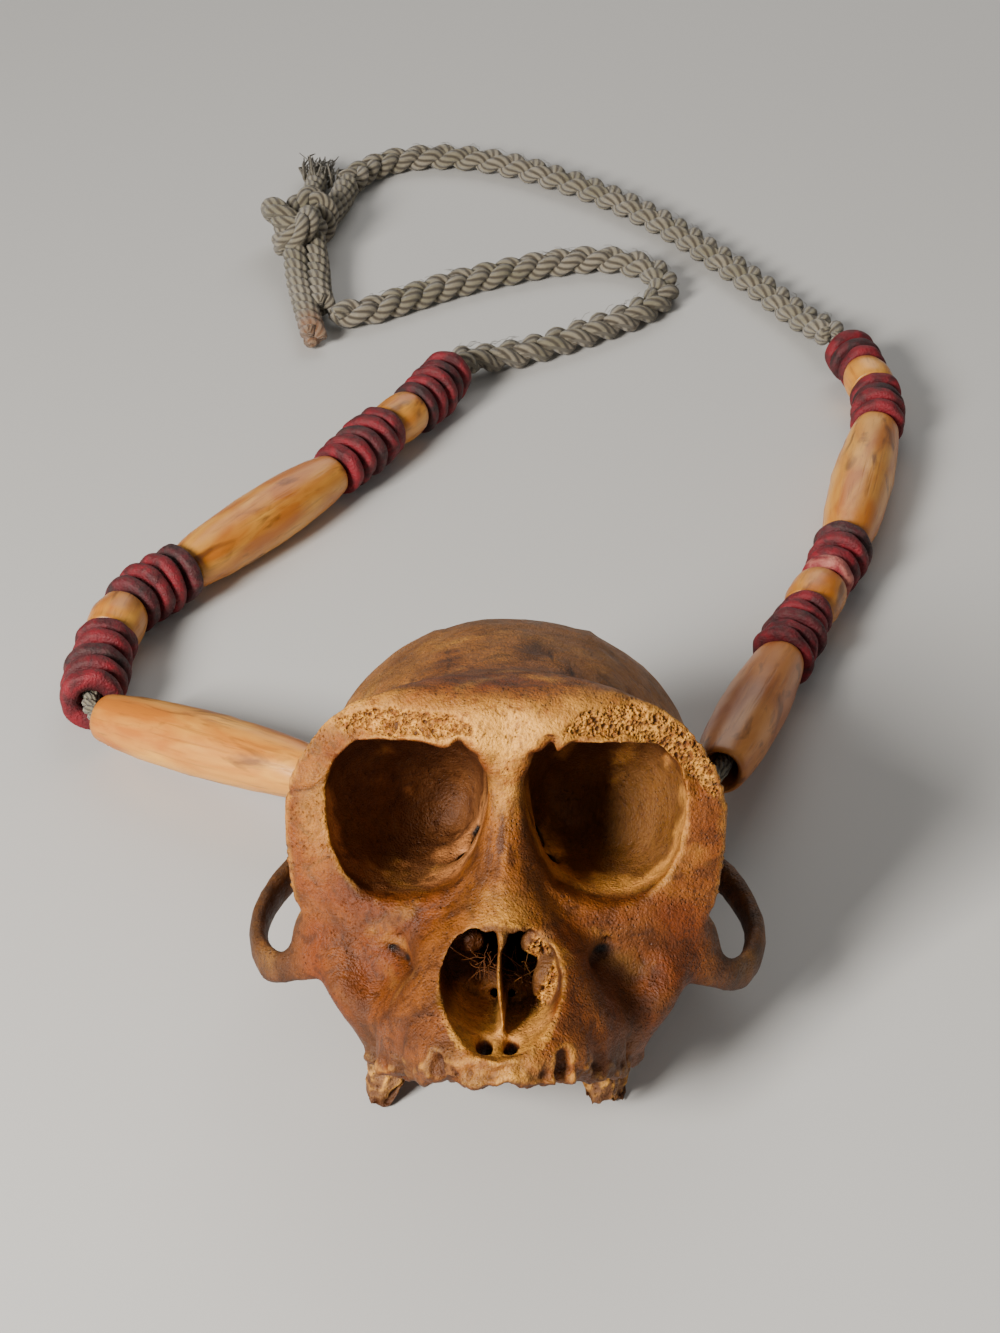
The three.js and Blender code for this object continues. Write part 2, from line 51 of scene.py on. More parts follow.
FULL_TURN = 2 * math.pi
LOG = logging.getLogger("strung_skull")
Colour = tuple[float, float, float]
Place = tuple[float, float, float]
Span = tuple[float, float, float, float]
Socket = bpy.types.NodeSocket


# Mesh and object helpers


def deselect() -> None:
    """Leaves object mode with nothing selected."""
    if bpy.context.object and bpy.context.object.mode != "OBJECT":
        bpy.ops.object.mode_set(mode="OBJECT")
    bpy.ops.object.select_all(action="DESELECT")


def take(piece: bpy.types.Object) -> None:
    """Makes a piece the one selected and active object.

    Args:
        piece: The piece.
    """
    deselect()
    piece.select_set(True)
    bpy.context.view_layer.objects.active = piece


def edit_all(piece: bpy.types.Object) -> None:
    """Opens a piece in edit mode with all of it selected.

    Args:
        piece: The piece.
    """
    take(piece)
    bpy.ops.object.mode_set(mode="EDIT")
    bpy.ops.mesh.select_all(action="SELECT")


def face_outwards(piece: bpy.types.Object) -> None:
    """Turns a closed piece's faces outwards.

    Args:
        piece: The piece.
    """
    edit_all(piece)
    bpy.ops.mesh.normals_make_consistent(inside=False)
    bpy.ops.object.mode_set(mode="OBJECT")


def apply_modifier(piece: bpy.types.Object, kind: str, **settings: object) -> None:
    """Adds a modifier to a piece and applies it.

    Args:
        piece: The piece to change.
        kind: Blender's name for the modifier.
        settings: The modifier's own settings.
    """
    take(piece)
    modifier = piece.modifiers.new(kind.title(), kind)
    for name, value in settings.items():
        setattr(modifier, name, value)
    bpy.ops.object.modifier_apply(modifier=modifier.name)


def rows_of(items: object, name: str, width: int, kind: type = float) -> np.ndarray:
    """Reads one property of many items.

    Args:
        items: The vertices, normals or edges.
        name: The property's name.
        width: How many numbers it has.
        kind: What kind of numbers they are.

    Returns:
        One row of numbers for each item.
    """
    flat = np.empty(len(items) * width, dtype=kind)
    items.foreach_get(name, flat)
    return flat.reshape(-1, width)


def points_of(mesh: bpy.types.Mesh) -> np.ndarray:
    """Returns a mesh's vertices as an array of rows."""
    return rows_of(mesh.vertices, "co", 3)


def normals_of(mesh: bpy.types.Mesh) -> np.ndarray:
    """Returns a mesh's vertex normals as an array of rows."""
    return rows_of(mesh.vertex_normals, "vector", 3)


def edges_of(mesh: bpy.types.Mesh) -> np.ndarray:
    """Returns a mesh's edges as pairs of vertex numbers."""
    return rows_of(mesh.edges, "vertices", 2, np.int64)


def set_points(mesh: bpy.types.Mesh, points: np.ndarray) -> None:
    """Moves a mesh's vertices to the rows of an array."""
    mesh.vertices.foreach_set("co", points.ravel())
    mesh.update()


def set_values(mesh: bpy.types.Mesh, name: str, values: np.ndarray) -> None:
    """Stores one number per vertex, from 0 to 1, under a name that a material can read."""
    layer = mesh.attributes.new(name, "FLOAT", "POINT")
    layer.data.foreach_set("value", np.clip(values, 0, 1).astype(np.float32))


def set_vectors(mesh: bpy.types.Mesh, name: str, vectors: np.ndarray) -> None:
    """Stores one vector per vertex under a name that a material can read."""
    layer = mesh.attributes.new(name, "FLOAT_VECTOR", "POINT")
    layer.data.foreach_set("vector", vectors.astype(np.float32).ravel())


def ramp(values: np.ndarray, low: float, high: float) -> np.ndarray:
    """Eases values from 0 at low to 1 at high."""
    share = np.clip((values - low) / (high - low), 0, 1)
    return share * share * (3 - 2 * share)


def band(values: np.ndarray, span: Span) -> np.ndarray:
    """Eases values from 0 to 1 over a span's first two numbers, and back over its last two."""
    start, full, end, gone = span
    return ramp(values, start, full) * ramp(-values, -gone, -end)


@dataclass
class Relaxer:
    """Evens out a mesh's vertices towards the middle of their neighbours."""

    edges: np.ndarray
    count: int
    degree: np.ndarray = field(init=False)
    swing: float = 0.52

    def __post_init__(self) -> None:
        """Counts each vertex's neighbours."""
        ends = self.edges.ravel()
        self.degree = np.maximum(np.bincount(ends, minlength=self.count), 1)

    def mean(self, points: np.ndarray) -> np.ndarray:
        """Works out the middle of each vertex's neighbours.

        Args:
            points: The vertices.

        Returns:
            The middles.
        """
        first, second = self.edges.T
        middle = np.empty_like(points)
        for axis in range(points.shape[1]):
            column = points[:, axis]
            total = np.bincount(first, column[second], self.count)
            total += np.bincount(second, column[first], self.count)
            middle[:, axis] = total / self.degree
        return middle

    def even(self, points: np.ndarray, steps: int, share: np.ndarray | float = 0.5) -> np.ndarray:
        """Moves vertices towards their neighbours' middle.

        Args:
            points: The vertices.
            steps: How often they move.
            share: How much of the way, for all or for each.

        Returns:
            The moved vertices.
        """
        share = np.broadcast_to(np.asarray(share, dtype=float), (self.count,))[:, None]
        for _ in range(steps):
            points = points + share * (self.mean(points) - points)
        return points

    def even_keeping_size(self, points: np.ndarray, steps: int) -> np.ndarray:
        """Evens facets out in pairs of steps, in and back out, so that thin forms stay.

        Args:
            points: The vertices.
            steps: How many pairs of steps they move.

        Returns:
            The moved vertices.
        """
        for _ in range(steps):
            points = self.even(points, 1)
            points = self.even(points, 1, -self.swing)
        return points


def distance_to_line(points: np.ndarray, line: list[tuple[float, ...]]) -> np.ndarray:
    """Measures how far points are from a line of straight stretches, in as many axes.

    Args:
        points: The points.
        line: The line's corners.

    Returns:
        Each point's distance.
    """
    best = np.full(len(points), np.inf)
    corners = np.asarray(line, dtype=float)
    for start, end in zip(corners[:-1], corners[1:]):
        along = end - start
        share = np.clip((points - start) @ along / (along @ along), 0, 1)
        gap = np.linalg.norm(points - start - share[:, None] * along, axis=1)
        best = np.minimum(best, gap)
    return best


def near(points: np.ndarray, centre: Place, reach: float | Place) -> np.ndarray:
    """Returns 1 at a centre, fading to nothing past its reach."""
    scaled = (points - np.asarray(centre)) / np.asarray(reach)
    return np.exp(-np.sum(scaled**2, axis=1))


def side_of(points: np.ndarray) -> np.ndarray:
    """Returns points with those of the left side mirrored to the right."""
    return points * np.stack([np.sign(points[:, 0]), *np.ones((2, len(points)))], axis=1)


def cloud(points: np.ndarray, size_mm: float, seed: float = 0) -> np.ndarray:
    """Returns smooth noise from -1 to 1 with lumps of a size, for points in millimetres."""
    shift = Vector((seed, -seed, 2 * seed))
    return np.array([noise.noise(Vector(p) / size_mm + shift) for p in points])


def cell_pits(points: np.ndarray, size_mm: float, wide: float) -> np.ndarray:
    """Returns 1 in the pit of each cell of a foam and 0 on the walls between."""
    reach = np.array([noise.voronoi(Vector(p) / size_mm)[0][0] for p in points])
    return ramp(-reach, -wide, -0.5 * wide)


@dataclass(frozen=True)
class Ripple:
    """Smooth unevenness: how high it is, how wide its lumps are and which of many it is."""

    height: float
    size_mm: float
    seed: float = 0

    def at(self, points: np.ndarray) -> np.ndarray:
        """Returns its height at each point."""
        return self.height * cloud(points, self.size_mm, self.seed)


# Shader helpers


class Shader:
    """A material's or a group's nodes, added and joined by name."""

    def __init__(self, tree: bpy.types.NodeTree) -> None:
        """Keeps the node tree to work in."""
        self.tree = tree

    def feed(self, node: bpy.types.Node, inputs: dict) -> None:
        """Gives a node's inputs their values, or joins sockets to them.

        Args:
            node: The node.
            inputs: Values or sockets, by the input's name or number.
        """
        for key, value in inputs.items():
            if isinstance(value, Socket):
                self.tree.links.new(value, node.inputs[key])
            else:
                node.inputs[key].default_value = value

    def add(self, kind: str, inputs: dict | None = None, **settings: object) -> bpy.types.Node:
        """Adds a node.

        Args:
            kind: The node's type.
            inputs: Values or sockets for its inputs, by name or number.
            settings: Its other settings.

        Returns:
            The new node.
        """
        node = self.tree.nodes.new(kind)
        for name, value in settings.items():
            setattr(node, name, value)
        self.feed(node, inputs or {})
        return node

    def mix(self, share: object, first: Socket | Colour, second: Socket | Colour) -> Socket:
        """Blends two colours.

        Args:
            share: How much of the second there is.
            first: The first colour.
            second: The second colour.

        Returns:
            The blend.
        """
        inputs = {0: share}
        for key, colour in ((6, first), (7, second)):
            inputs[key] = (*colour, 1) if isinstance(colour, tuple) else colour
        return self.add("ShaderNodeMix", inputs, data_type="RGBA").outputs[2]

    def math(self, operation: str, first: object, second: object = 0.0) -> Socket:
        """Returns the result of one sum on two values."""
        return self.add("ShaderNodeMath", {0: first, 1: second}, operation=operation).outputs[0]

    def times(self, first: object, second: object) -> Socket:
        """Returns the product of two values."""
        return self.math("MULTIPLY", first, second)

    def spread(self, value: object, low: float, high: float, **ends: float) -> Socket:
        """Stretches a value so that low gives 0 and high gives 1, or other ends.

        Args:
            value: The value.
            low: What gives the lower end.
            high: What gives the upper end.
            ends: lowest and highest, where they aren't 0 and 1.

        Returns:
            The stretched value.
        """
        inputs = {"Value": value, "From Min": low, "From Max": high}
        inputs["To Min"] = ends.get("lowest", 0.0)
        inputs["To Max"] = ends.get("highest", 1.0)
        return self.add("ShaderNodeMapRange", inputs).outputs["Result"]

    def noise(self, where: Socket, scale: float, detail: float) -> Socket:
        """Returns plain noise."""
        inputs = {"Vector": where, "Scale": scale, "Detail": detail}
        return self.add("ShaderNodeTexNoise", inputs).outputs["Fac"]

    def stretched(self, where: Socket, scale: Place) -> Socket:
        """Returns places scaled by axis, so that a pattern on them is drawn out."""
        return self.add("ShaderNodeMapping", {"Vector": where, "Scale": scale}).outputs[0]

    def stored(self, name: str, output: str = "Fac") -> Socket:
        """Returns what the mesh stores under a name."""
        return self.add("ShaderNodeAttribute", attribute_name=name).outputs[output]

    def bump(self, height: Socket, strength: float, depth: float, invert: bool = False) -> Socket:
        """Returns the normal of a surface with a relief."""
        inputs = {"Height": height, "Strength": strength, "Distance": depth}
        return self.add("ShaderNodeBump", inputs, invert=invert).outputs["Normal"]

    def group(self, group: bpy.types.NodeTree, inputs: dict) -> Socket:
        """Returns the first output of a node group that has its own values here."""
        return self.add("ShaderNodeGroup", inputs, node_tree=group).outputs[0]


@dataclass(frozen=True)
class Patch:
    """Soft patches of noise.

    They begin where the noise passes low and are full past high, and share is how strongly
    they show.
    """

    scale: float
    low: float
    high: float
    warp: float = 0.0
    share: float = 1.0

    def values(self, where: Socket) -> dict[str, object]:
        """Returns the mottle group's inputs for these patches."""
        sizes = {"Scale": self.scale, "Low": self.low, "High": self.high, "Warp": self.warp}
        return {"Vector": where, **sizes}


def new_group(name: str, inputs: dict[str, float]) -> tuple[bpy.types.NodeTree, Shader]:
    """Starts a node group with a Vector input, other inputs and one value out.

    Args:
        name: The group's name.
        inputs: Its number inputs and their usual values.

    Returns:
        The group and a shader to fill it with.
    """
    group = bpy.data.node_groups.new(name, "ShaderNodeTree")
    sockets = group.interface
    sockets.new_socket(name="Vector", in_out="INPUT", socket_type="NodeSocketVector")
    for key, value in inputs.items():
        socket = sockets.new_socket(name=key, in_out="INPUT", socket_type="NodeSocketFloat")
        socket.default_value = value
    sockets.new_socket(name="Value", in_out="OUTPUT", socket_type="NodeSocketFloat")
    return group, Shader(group)


def mottle_group() -> bpy.types.NodeTree:
    """Makes the group for soft uneven patches: noise stretched between Low and High.

    Returns:
        The group.
    """
    group, shader = new_group("mottle", {"Scale": 100, "Low": 0.4, "High": 0.6, "Warp": 0.0})
    source = shader.add("NodeGroupInput").outputs
    inputs = {name: source[name] for name in ("Vector", "Scale")}
    inputs |= {"Detail": 4.0, "Distortion": source["Warp"]}
    patches = shader.add("ShaderNodeTexNoise", inputs).outputs["Fac"]
    value = shader.spread(patches, source["Low"], source["High"])
    shader.add("NodeGroupOutput", {"Value": value})
    return group


def pits_group() -> bpy.types.NodeTree:
    """Makes the group for small pits: 1 in each pit and 0 between them.

    Returns:
        The group.
    """
    wobble_reach, bottom = 0.0006, 0.02
    group, shader = new_group("pits", {"Scale": 900, "Size": 0.3})
    source = shader.add("NodeGroupInput").outputs
    warp = {"Vector": source["Vector"], "Scale": source["Scale"], "Detail": 1.0}
    wobble = shader.add("ShaderNodeTexNoise", warp).outputs["Color"]
    scaled = {0: wobble, "Scale": wobble_reach}
    offset = shader.add("ShaderNodeVectorMath", scaled, operation="SCALE").outputs[0]
    both = {0: source["Vector"], 1: offset}
    moved = shader.add("ShaderNodeVectorMath", both, operation="ADD").outputs[0]
    cells = {"Vector": moved, "Scale": source["Scale"]}
    distance = shader.add("ShaderNodeTexVoronoi", cells).outputs["Distance"]
    shader.add("NodeGroupOutput", {"Value": shader.spread(distance, source["Size"], bottom)})
    return group


@dataclass(frozen=True)
class Patterns:
    """The node groups that several finishes use."""

    mottle: bpy.types.NodeTree
    pits: bpy.types.NodeTree

    def patches(self, shader: Shader, where: Socket, patch: Patch) -> Socket:
        """Places soft patches in a material.

        Args:
            shader: The material's shader.
            where: The places that the pattern reads.
            patch: The patches' sizes.

        Returns:
            How strong the patches are at each place.
        """
        value = shader.group(self.mottle, patch.values(where))
        return value if patch.share == 1 else shader.times(value, patch.share)

    def holes(self, shader: Shader, where: Socket, scale: float, size: float) -> Socket:
        """Returns 1 in small holes and 0 between them."""
        return shader.group(self.pits, {"Vector": where, "Scale": scale, "Size": size})


def new_material(name: str) -> tuple[bpy.types.Material, Shader, bpy.types.Node]:
    """Starts a material.

    Args:
        name: The material's name.

    Returns:
        The material, its shader and its Principled BSDF.
    """
    material = bpy.data.materials.new(name)
    material.use_nodes = True
    shader = Shader(material.node_tree)
    return material, shader, material.node_tree.nodes["Principled BSDF"]


@dataclass(frozen=True)
class BoneFinish:
    """Old bone: ochre and orange, cream where it is worn and where highlights are painted, and dark
    brown in its hollows, where shade is painted.
    """

    ochre: Colour = (0.25, 0.074, 0.009)
    orange: Colour = (0.19, 0.038, 0.0028)
    cream: Colour = (0.80, 0.37, 0.058)
    lining: Colour = (0.54, 0.215, 0.066)
    vault: Colour = (0.24, 0.080, 0.014)
    grey: Colour = (0.055, 0.030, 0.015)
    brown: Colour = (0.050, 0.013, 0.0022)
    black: Colour = (0.006, 0.003, 0.002)
    warmth: Patch = Patch(70, 0.38, 0.62, 0.6)
    smudges: Patch = Patch(105, 0.45, 0.68, 1.1, 0.75)
    blotches: Patch = Patch(300, 0.51, 0.66, 1.6, 0.65)
    gilding: tuple[Patch, Patch] = (Patch(85, 0.55, 0.72, 0.7, 0.4), Patch(420, 0.3, 0.6))
    rub_and_highlight: tuple[Patch, Patch] = (Patch(380, 0.05, 0.45), Patch(1100, 0.2, 0.5, 0.3))
    greying: Patch = Patch(160, 0.3, 0.7)
    speckled: Patch = Patch(240, 0.42, 0.6)
    fibres: Patch = Patch(1900, 0.5, 0.7, 1.2, 0.45)
    fibre_run: Place = (1, 0.6, 0.35)
    torn: Patch = Patch(900, 0.35, 0.65)
    polish: Patch = Patch(260, 0.3, 0.7)
    roughness: tuple[float, float] = (0.4, 0.62)
    specks: tuple[float, float] = (1500, 0.34)
    sponge: tuple[float, float] = (1900, 0.5)
    aged_share: float = 0.9
    worn_and_lining_share: float = 0.85
    speckle_share: float = 0.7
    lump_scale: float = 420.0
    grain_scale: float = 2600.0
    lump_height: float = 1.8
    speckle_depth: float = 0.8
    pore_depth: float = 1.6
    relief_strength: float = 0.8
    relief: float = 0.0004
    shine: float = 0.3

    def material(self, patterns: Patterns, name: str = "old_bone") -> bpy.types.Material:
        """Makes the material, which reads what the skull's mesh says of each place.

        Args:
            patterns: The shared patterns.
            name: The material's name.

        Returns:
            The material.
        """
        material, shader, surface = new_material(name)
        where = shader.add("ShaderNodeTexCoord").outputs["Object"]
        specks = patterns.holes(shader, where, *self.specks)
        speckle = shader.times(specks, patterns.patches(shader, where, self.speckled))
        sponge = patterns.holes(shader, where, *self.sponge)
        pores = shader.times(sponge, shader.stored("worn"))
        low, high = self.roughness
        gloss = patterns.patches(shader, where, self.polish)
        inputs = {
            "Base Color": self.colour(shader, patterns, where, speckle, pores),
            "Roughness": shader.spread(gloss, 0.0, 1.0, lowest=low, highest=high),
            "Normal": self.relief_of(shader, where, speckle, pores),
            "Specular IOR Level": self.shine,
        }
        shader.feed(surface, inputs)
        return material

    def colour(
        self, shader: Shader, patterns: Patterns, where: Socket, speckle: Socket, pores: Socket
    ) -> Socket:
        """Lays the colours over each other.

        Args:
            shader: The material's shader.
            patterns: The shared patterns.
            where: The places that the patterns read.
            speckle: Where the small dark specks are.
            pores: Where the pores of the worn bone are.

        Returns:
            The colour.
        """

        def patches(patch: Patch, places: Socket = where) -> Socket:
            """Returns soft patches on the bone."""
            return patterns.patches(shader, places, patch)

        gilt = shader.times(*(patches(patch) for patch in self.gilding))
        rubbed = shader.times(*(patches(patch) for patch in self.rub_and_highlight))
        along = shader.stretched(where, self.fibre_run)
        torn = shader.mix(patches(self.torn), self.ochre, self.cream)
        colour = shader.mix(patches(self.warmth), self.ochre, self.orange)
        for share, over in (
            (shader.times(shader.stored("aged"), self.aged_share), self.vault),
            # The paler tan lining: painted light on the orbit walls and the nose floor, and the
            # scrolls' paler bone.
            (shader.times(shader.stored("lining"), self.worn_and_lining_share), self.lining),
            (patches(self.smudges), self.brown),
            (patches(self.blotches), self.brown),
            (gilt, self.cream),
            # Cream where highlights are painted on ridges and lit faces and where edges are rubbed,
            # broken up by noise patches.
            (shader.times(shader.stored("light"), rubbed), self.cream),
            (shader.times(shader.stored("grey"), patches(self.greying)), self.grey),
            # Dark brown where shade is painted in hollows and creases, and where the bone is stained.
            (shader.stored("dark"), self.brown),
            (shader.times(speckle, self.speckle_share), self.brown),
            (patches(self.fibres, along), self.brown),
            (shader.times(shader.stored("worn"), self.worn_and_lining_share), torn),
            (shader.times(pores, self.worn_and_lining_share), self.brown),
            # Black for inked seams and the vault's stain, and black painted shade in holes.
            (shader.stored("crack"), self.black),
        ):
            colour = shader.mix(share, colour, over)
        return colour

    def relief_of(self, shader: Shader, where: Socket, speckle: Socket, pores: Socket) -> Socket:
        """Adds up lumps, grain, specks and pores.

        Args:
            shader: The material's shader.
            where: The places that the noise reads.
            speckle: Where the small dark specks are.
            pores: Where the pores of the worn bone are.

        Returns:
            The normal.
        """
        lumps = shader.times(shader.noise(where, self.lump_scale, 4.0), self.lump_height)
        height = shader.math("ADD", lumps, shader.noise(where, self.grain_scale, 3.0))
        for holes, depth in ((speckle, self.speckle_depth), (pores, self.pore_depth)):
            height = shader.math("SUBTRACT", height, shader.times(holes, depth))
        return shader.bump(height, self.relief_strength, self.relief)


@dataclass(frozen=True)
class BeadFinish:
    """Polished bone of a bead: cream with orange and brown stains along it."""

    cream: Colour = (0.74, 0.345, 0.052)
    orange: Colour = (0.50, 0.150, 0.012)
    brown: Colour = (0.12, 0.032, 0.006)
    warmth: Patch = Patch(190, 0.35, 0.62, 0.5)
    dark_patches: Patch = Patch(260, 0.56, 0.68, 0.8, 0.75)
    streaks: Patch = Patch(1500, 0.55, 0.72)
    streak_share: float = 0.28
    stain_run: Place = (1, 1, 0.28)
    streak_run: Place = (1, 1, 0.05)

    def material(self, patterns: Patterns, name: str) -> bpy.types.Material:
        """Makes the material, which follows each bead's own axis.

        Args:
            patterns: The shared patterns.
            name: The material's name.

        Returns:
            The material.
        """
        material, shader, surface = new_material(name)
        own = shader.stored("own", "Vector")
        long = shader.stretched(own, self.stain_run)
        fine = patterns.patches(shader, shader.stretched(own, self.streak_run), self.streaks)
        colour = shader.mix(patterns.patches(shader, long, self.warmth), self.cream, self.orange)
        for share in (
            patterns.patches(shader, long, self.dark_patches),
            shader.times(fine, self.streak_share),
            # Darker where shade is painted on the bead's ends, round the bore.
            shader.stored("dark"),
        ):
            colour = shader.mix(share, colour, self.brown)
        inputs = {
            "Base Color": colour,
            "Roughness": 0.38,
            "Normal": shader.bump(fine, 0.5, 0.00008, invert=True),
            "Coat Weight": 0.12,
            "Coat Roughness": 0.3,
        }
        shader.feed(surface, inputs)
        return material


@dataclass(frozen=True)
class DiscFinish:
    """Dull dyed discs with rubbed edges and dust."""

    dye: Colour
    shade: Colour
    rubbed: Colour
    uneven: Patch = Patch(320, 0.38, 0.62, 0.4)
    wear: Patch = Patch(900, 0.45, 0.7, 0.2, 0.7)
    grain: Patch = Patch(2400, 0.3, 0.7)

    def material(self, patterns: Patterns, name: str) -> bpy.types.Material:
        """Makes the material, which follows each disc's own axis.

        Args:
            patterns: The shared patterns.
            name: The material's name.

        Returns:
            The material.
        """
        material, shader, surface = new_material(name)
        own = shader.stored("own", "Vector")
        worn = shader.times(shader.stored("light"), patterns.patches(shader, own, self.wear))
        colour = shader.mix(patterns.patches(shader, own, self.uneven), self.dye, self.shade)
        rough = patterns.patches(shader, own, self.grain)
        inputs = {
            "Base Color": shader.mix(worn, colour, self.rubbed),
            "Roughness": 0.62,
            "Normal": shader.bump(rough, 0.7, 0.00018),
        }
        shader.feed(surface, inputs)
        return material


@dataclass(frozen=True)
class CordFinish:
    """Twisted fibre, grey-beige on its crowns, with painted shade between its yarns."""

    crown: Colour = (0.34, 0.29, 0.21)
    shade: Colour = (0.075, 0.058, 0.038)
    tinge: Colour = (0.24, 0.21, 0.13)
    stain: Colour = (0.26, 0.095, 0.025)
    tinges: Patch = Patch(110, 0.35, 0.65, 0.3)
    hairs: Patch = Patch(3200, 0.35, 0.7, 1.5)
    yarns: float = 5.0
    turns_per_mm: float = 0.42
    stain_share: float = 0.85
    hair_shade: float = 0.35
    hair_height: float = 0.4

    def material(self, patterns: Patterns, name: str) -> bpy.types.Material:
        """Makes the material, which follows each strand's yarns.

        Args:
            patterns: The shared patterns.
            name: The material's name.

        Returns:
            The material.
        """
        material, shader, surface = new_material(name)
        lay = shader.add("ShaderNodeSeparateXYZ", {0: shader.stored("lay", "Vector")}).outputs
        turn = shader.times(lay[0], self.yarns)
        twist = shader.math("ADD", turn, shader.times(lay[1], self.turns_per_mm))
        wave = shader.math("SINE", shader.times(twist, FULL_TURN))
        crowns = shader.spread(wave, -0.9, 0.5)
        where = shader.add("ShaderNodeTexCoord").outputs["Object"]
        hairs = patterns.patches(shader, where, self.hairs)
        colour = shader.mix(patterns.patches(shader, where, self.tinges), self.crown, self.tinge)
        # Painted shade in the grooves between the yarns.
        colour = shader.mix(crowns, self.shade, colour)
        colour = shader.mix(shader.times(shader.stored("stain"), self.stain_share), colour, self.stain)
        height = shader.math("ADD", crowns, shader.times(hairs, self.hair_height))
        inputs = {
            "Base Color": shader.mix(shader.times(hairs, self.hair_shade), colour, self.shade),
            "Roughness": 0.9,
            "Normal": shader.bump(height, 0.9, 0.0003),
            "Sheen Weight": 0.25,
        }
        shader.feed(surface, inputs)
        return material


# Axes


@dataclass(frozen=True)
class Seat:
    """How the skull sits: tilted back on the table, over the origin."""

    tilt: float = math.radians(19)
    eye_height_mm: float = 45.0
    eye_mm: Place = (0.0, 2.0, 12.3)
    middle_behind_eyes_mm: float = 14.18

    def turn(self) -> np.ndarray:
        """Returns the turn from the skull's axes to the part's."""
        c, s = math.cos(self.tilt), math.sin(self.tilt)
        return np.array([[1, 0, 0], [0, c, s], [0, -s, c]])

    def shift(self) -> np.ndarray:
        """Returns the move that follows the turn, in millimetres."""
        eyes = self.turn() @ np.array(self.eye_mm)
        return np.array([0, -eyes[1] - self.middle_behind_eyes_mm, self.eye_height_mm - eyes[2]])

    def to_skull(self, points: np.ndarray) -> np.ndarray:
        """Turns points of the part, in metres, into the skull's axes, in millimetres."""
        return (points / MM - self.shift()) @ self.turn()

    def to_part(self, points: np.ndarray) -> np.ndarray:
        """Turns points in the skull's axes, in millimetres, into the part's, in metres."""
        return (points @ self.turn().T + self.shift()) * MM

    def points(self, piece: bpy.types.Object) -> np.ndarray:
        """Returns a piece's vertices in the skull's axes."""
        return self.to_skull(points_of(piece.data))

    def normals(self, piece: bpy.types.Object) -> np.ndarray:
        """Returns a piece's vertex normals in the skull's axes."""
        return normals_of(piece.data) @ self.turn()

    def place(self, piece: bpy.types.Object, points: np.ndarray) -> None:
        """Moves a piece's vertices to points in the skull's axes."""
        set_points(piece.data, self.to_part(points))

    def from_eyes(self, places: list[Place]) -> np.ndarray:
        """Turns places measured from between the eyes into the part's, all in millimetres."""
        return np.array(places, dtype=float) - np.array([0, self.middle_behind_eyes_mm, 0])


SEAT = Seat()


@dataclass(frozen=True)
class Lump:
    """A rounded mass that a bone grows into: its middle and half sizes."""

    middle: Place
    half: Place

    def build(self) -> bpy.types.Object:
        """Makes the lump as an object of its own.

        Returns:
            The lump.
        """
        deselect()
        bpy.ops.mesh.primitive_uv_sphere_add(segments=20, ring_count=12, radius=1)
        ball = bpy.context.object
        SEAT.place(ball, points_of(ball.data) * np.array(self.half) + np.array(self.middle))
        return ball

    def reach(self, points: np.ndarray) -> np.ndarray:
        """Returns how far points are from the middle, with 1 at the lump's surface."""
        return np.linalg.norm((points - self.middle) / self.half, axis=1)


def copy_of_solid(node: str, name: str) -> bpy.types.Object:
    """Copies a solid and merges its loose triangles.

    Args:
        node: The solid's name.
        name: The new piece's name.

    Returns:
        The copy.
    """
    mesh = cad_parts[node].data.copy()
    mesh.materials.clear()
    piece = bpy.data.objects.new(name, mesh)
    bpy.context.collection.objects.link(piece)
    edit_all(piece)
    bpy.ops.mesh.remove_doubles(threshold=1e-6)
    bpy.ops.object.mode_set(mode="OBJECT")
    return piece


def piece_from_solid(
    node: str, name: str, voxel_mm: float, lumps: tuple[Lump, ...] = ()
) -> bpy.types.Object:
    """Copies a solid and gives the copy an even net of small faces.

    Args:
        node: The solid's name.
        name: The new piece's name.
        voxel_mm: The size of its faces.
        lumps: Masses that grow into it.

    Returns:
        The new piece.
    """
    piece = copy_of_solid(node, name)
    balls = [lump.build() for lump in lumps]
    take(piece)
    for ball in balls:
        ball.select_set(True)
    if balls:
        bpy.ops.object.join()
    apply_modifier(piece, "REMESH", mode="VOXEL", voxel_size=voxel_mm * MM)
    return piece


def subdivide_where(piece: bpy.types.Object, chosen: np.ndarray) -> None:
    """Cuts each face whose corners are all chosen into four.

    Args:
        piece: The piece.
        chosen: True for each vertex that is chosen.
    """
    mesh = piece.data
    take(piece)
    mesh.vertices.foreach_set("select", chosen)
    faces = [all(chosen[v] for v in face.vertices) for face in mesh.polygons]
    mesh.polygons.foreach_set("select", faces)
    mesh.edges.foreach_set("select", np.all(chosen[edges_of(mesh)], axis=1))
    bpy.ops.object.mode_set(mode="EDIT")
    bpy.ops.mesh.select_mode(type="FACE")
    bpy.ops.mesh.subdivide(number_cuts=1)
    bpy.ops.object.mode_set(mode="OBJECT")


def finish_piece(
    piece: bpy.types.Object, material: bpy.types.Material, slot: str, *nodes: str
) -> None:
    """Dresses a finished piece and ties it to the frame.

    Args:
        piece: The piece.
        material: Its material.
        slot: Not used.
        nodes: The solids that it stands for.
    """
    piece.data.materials.clear()
    piece.data.materials.append(material)
    take(piece)
    bpy.ops.object.shade_smooth()
    deselect()
    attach(piece, "root")
    if nodes:
        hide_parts(*nodes)
    LOG.info("%s: %d faces", piece.name, len(piece.data.polygons))


# The skull

FAR = 1000.0
WHOLE: Span = (-2 * FAR, -FAR, FAR, 2 * FAR)


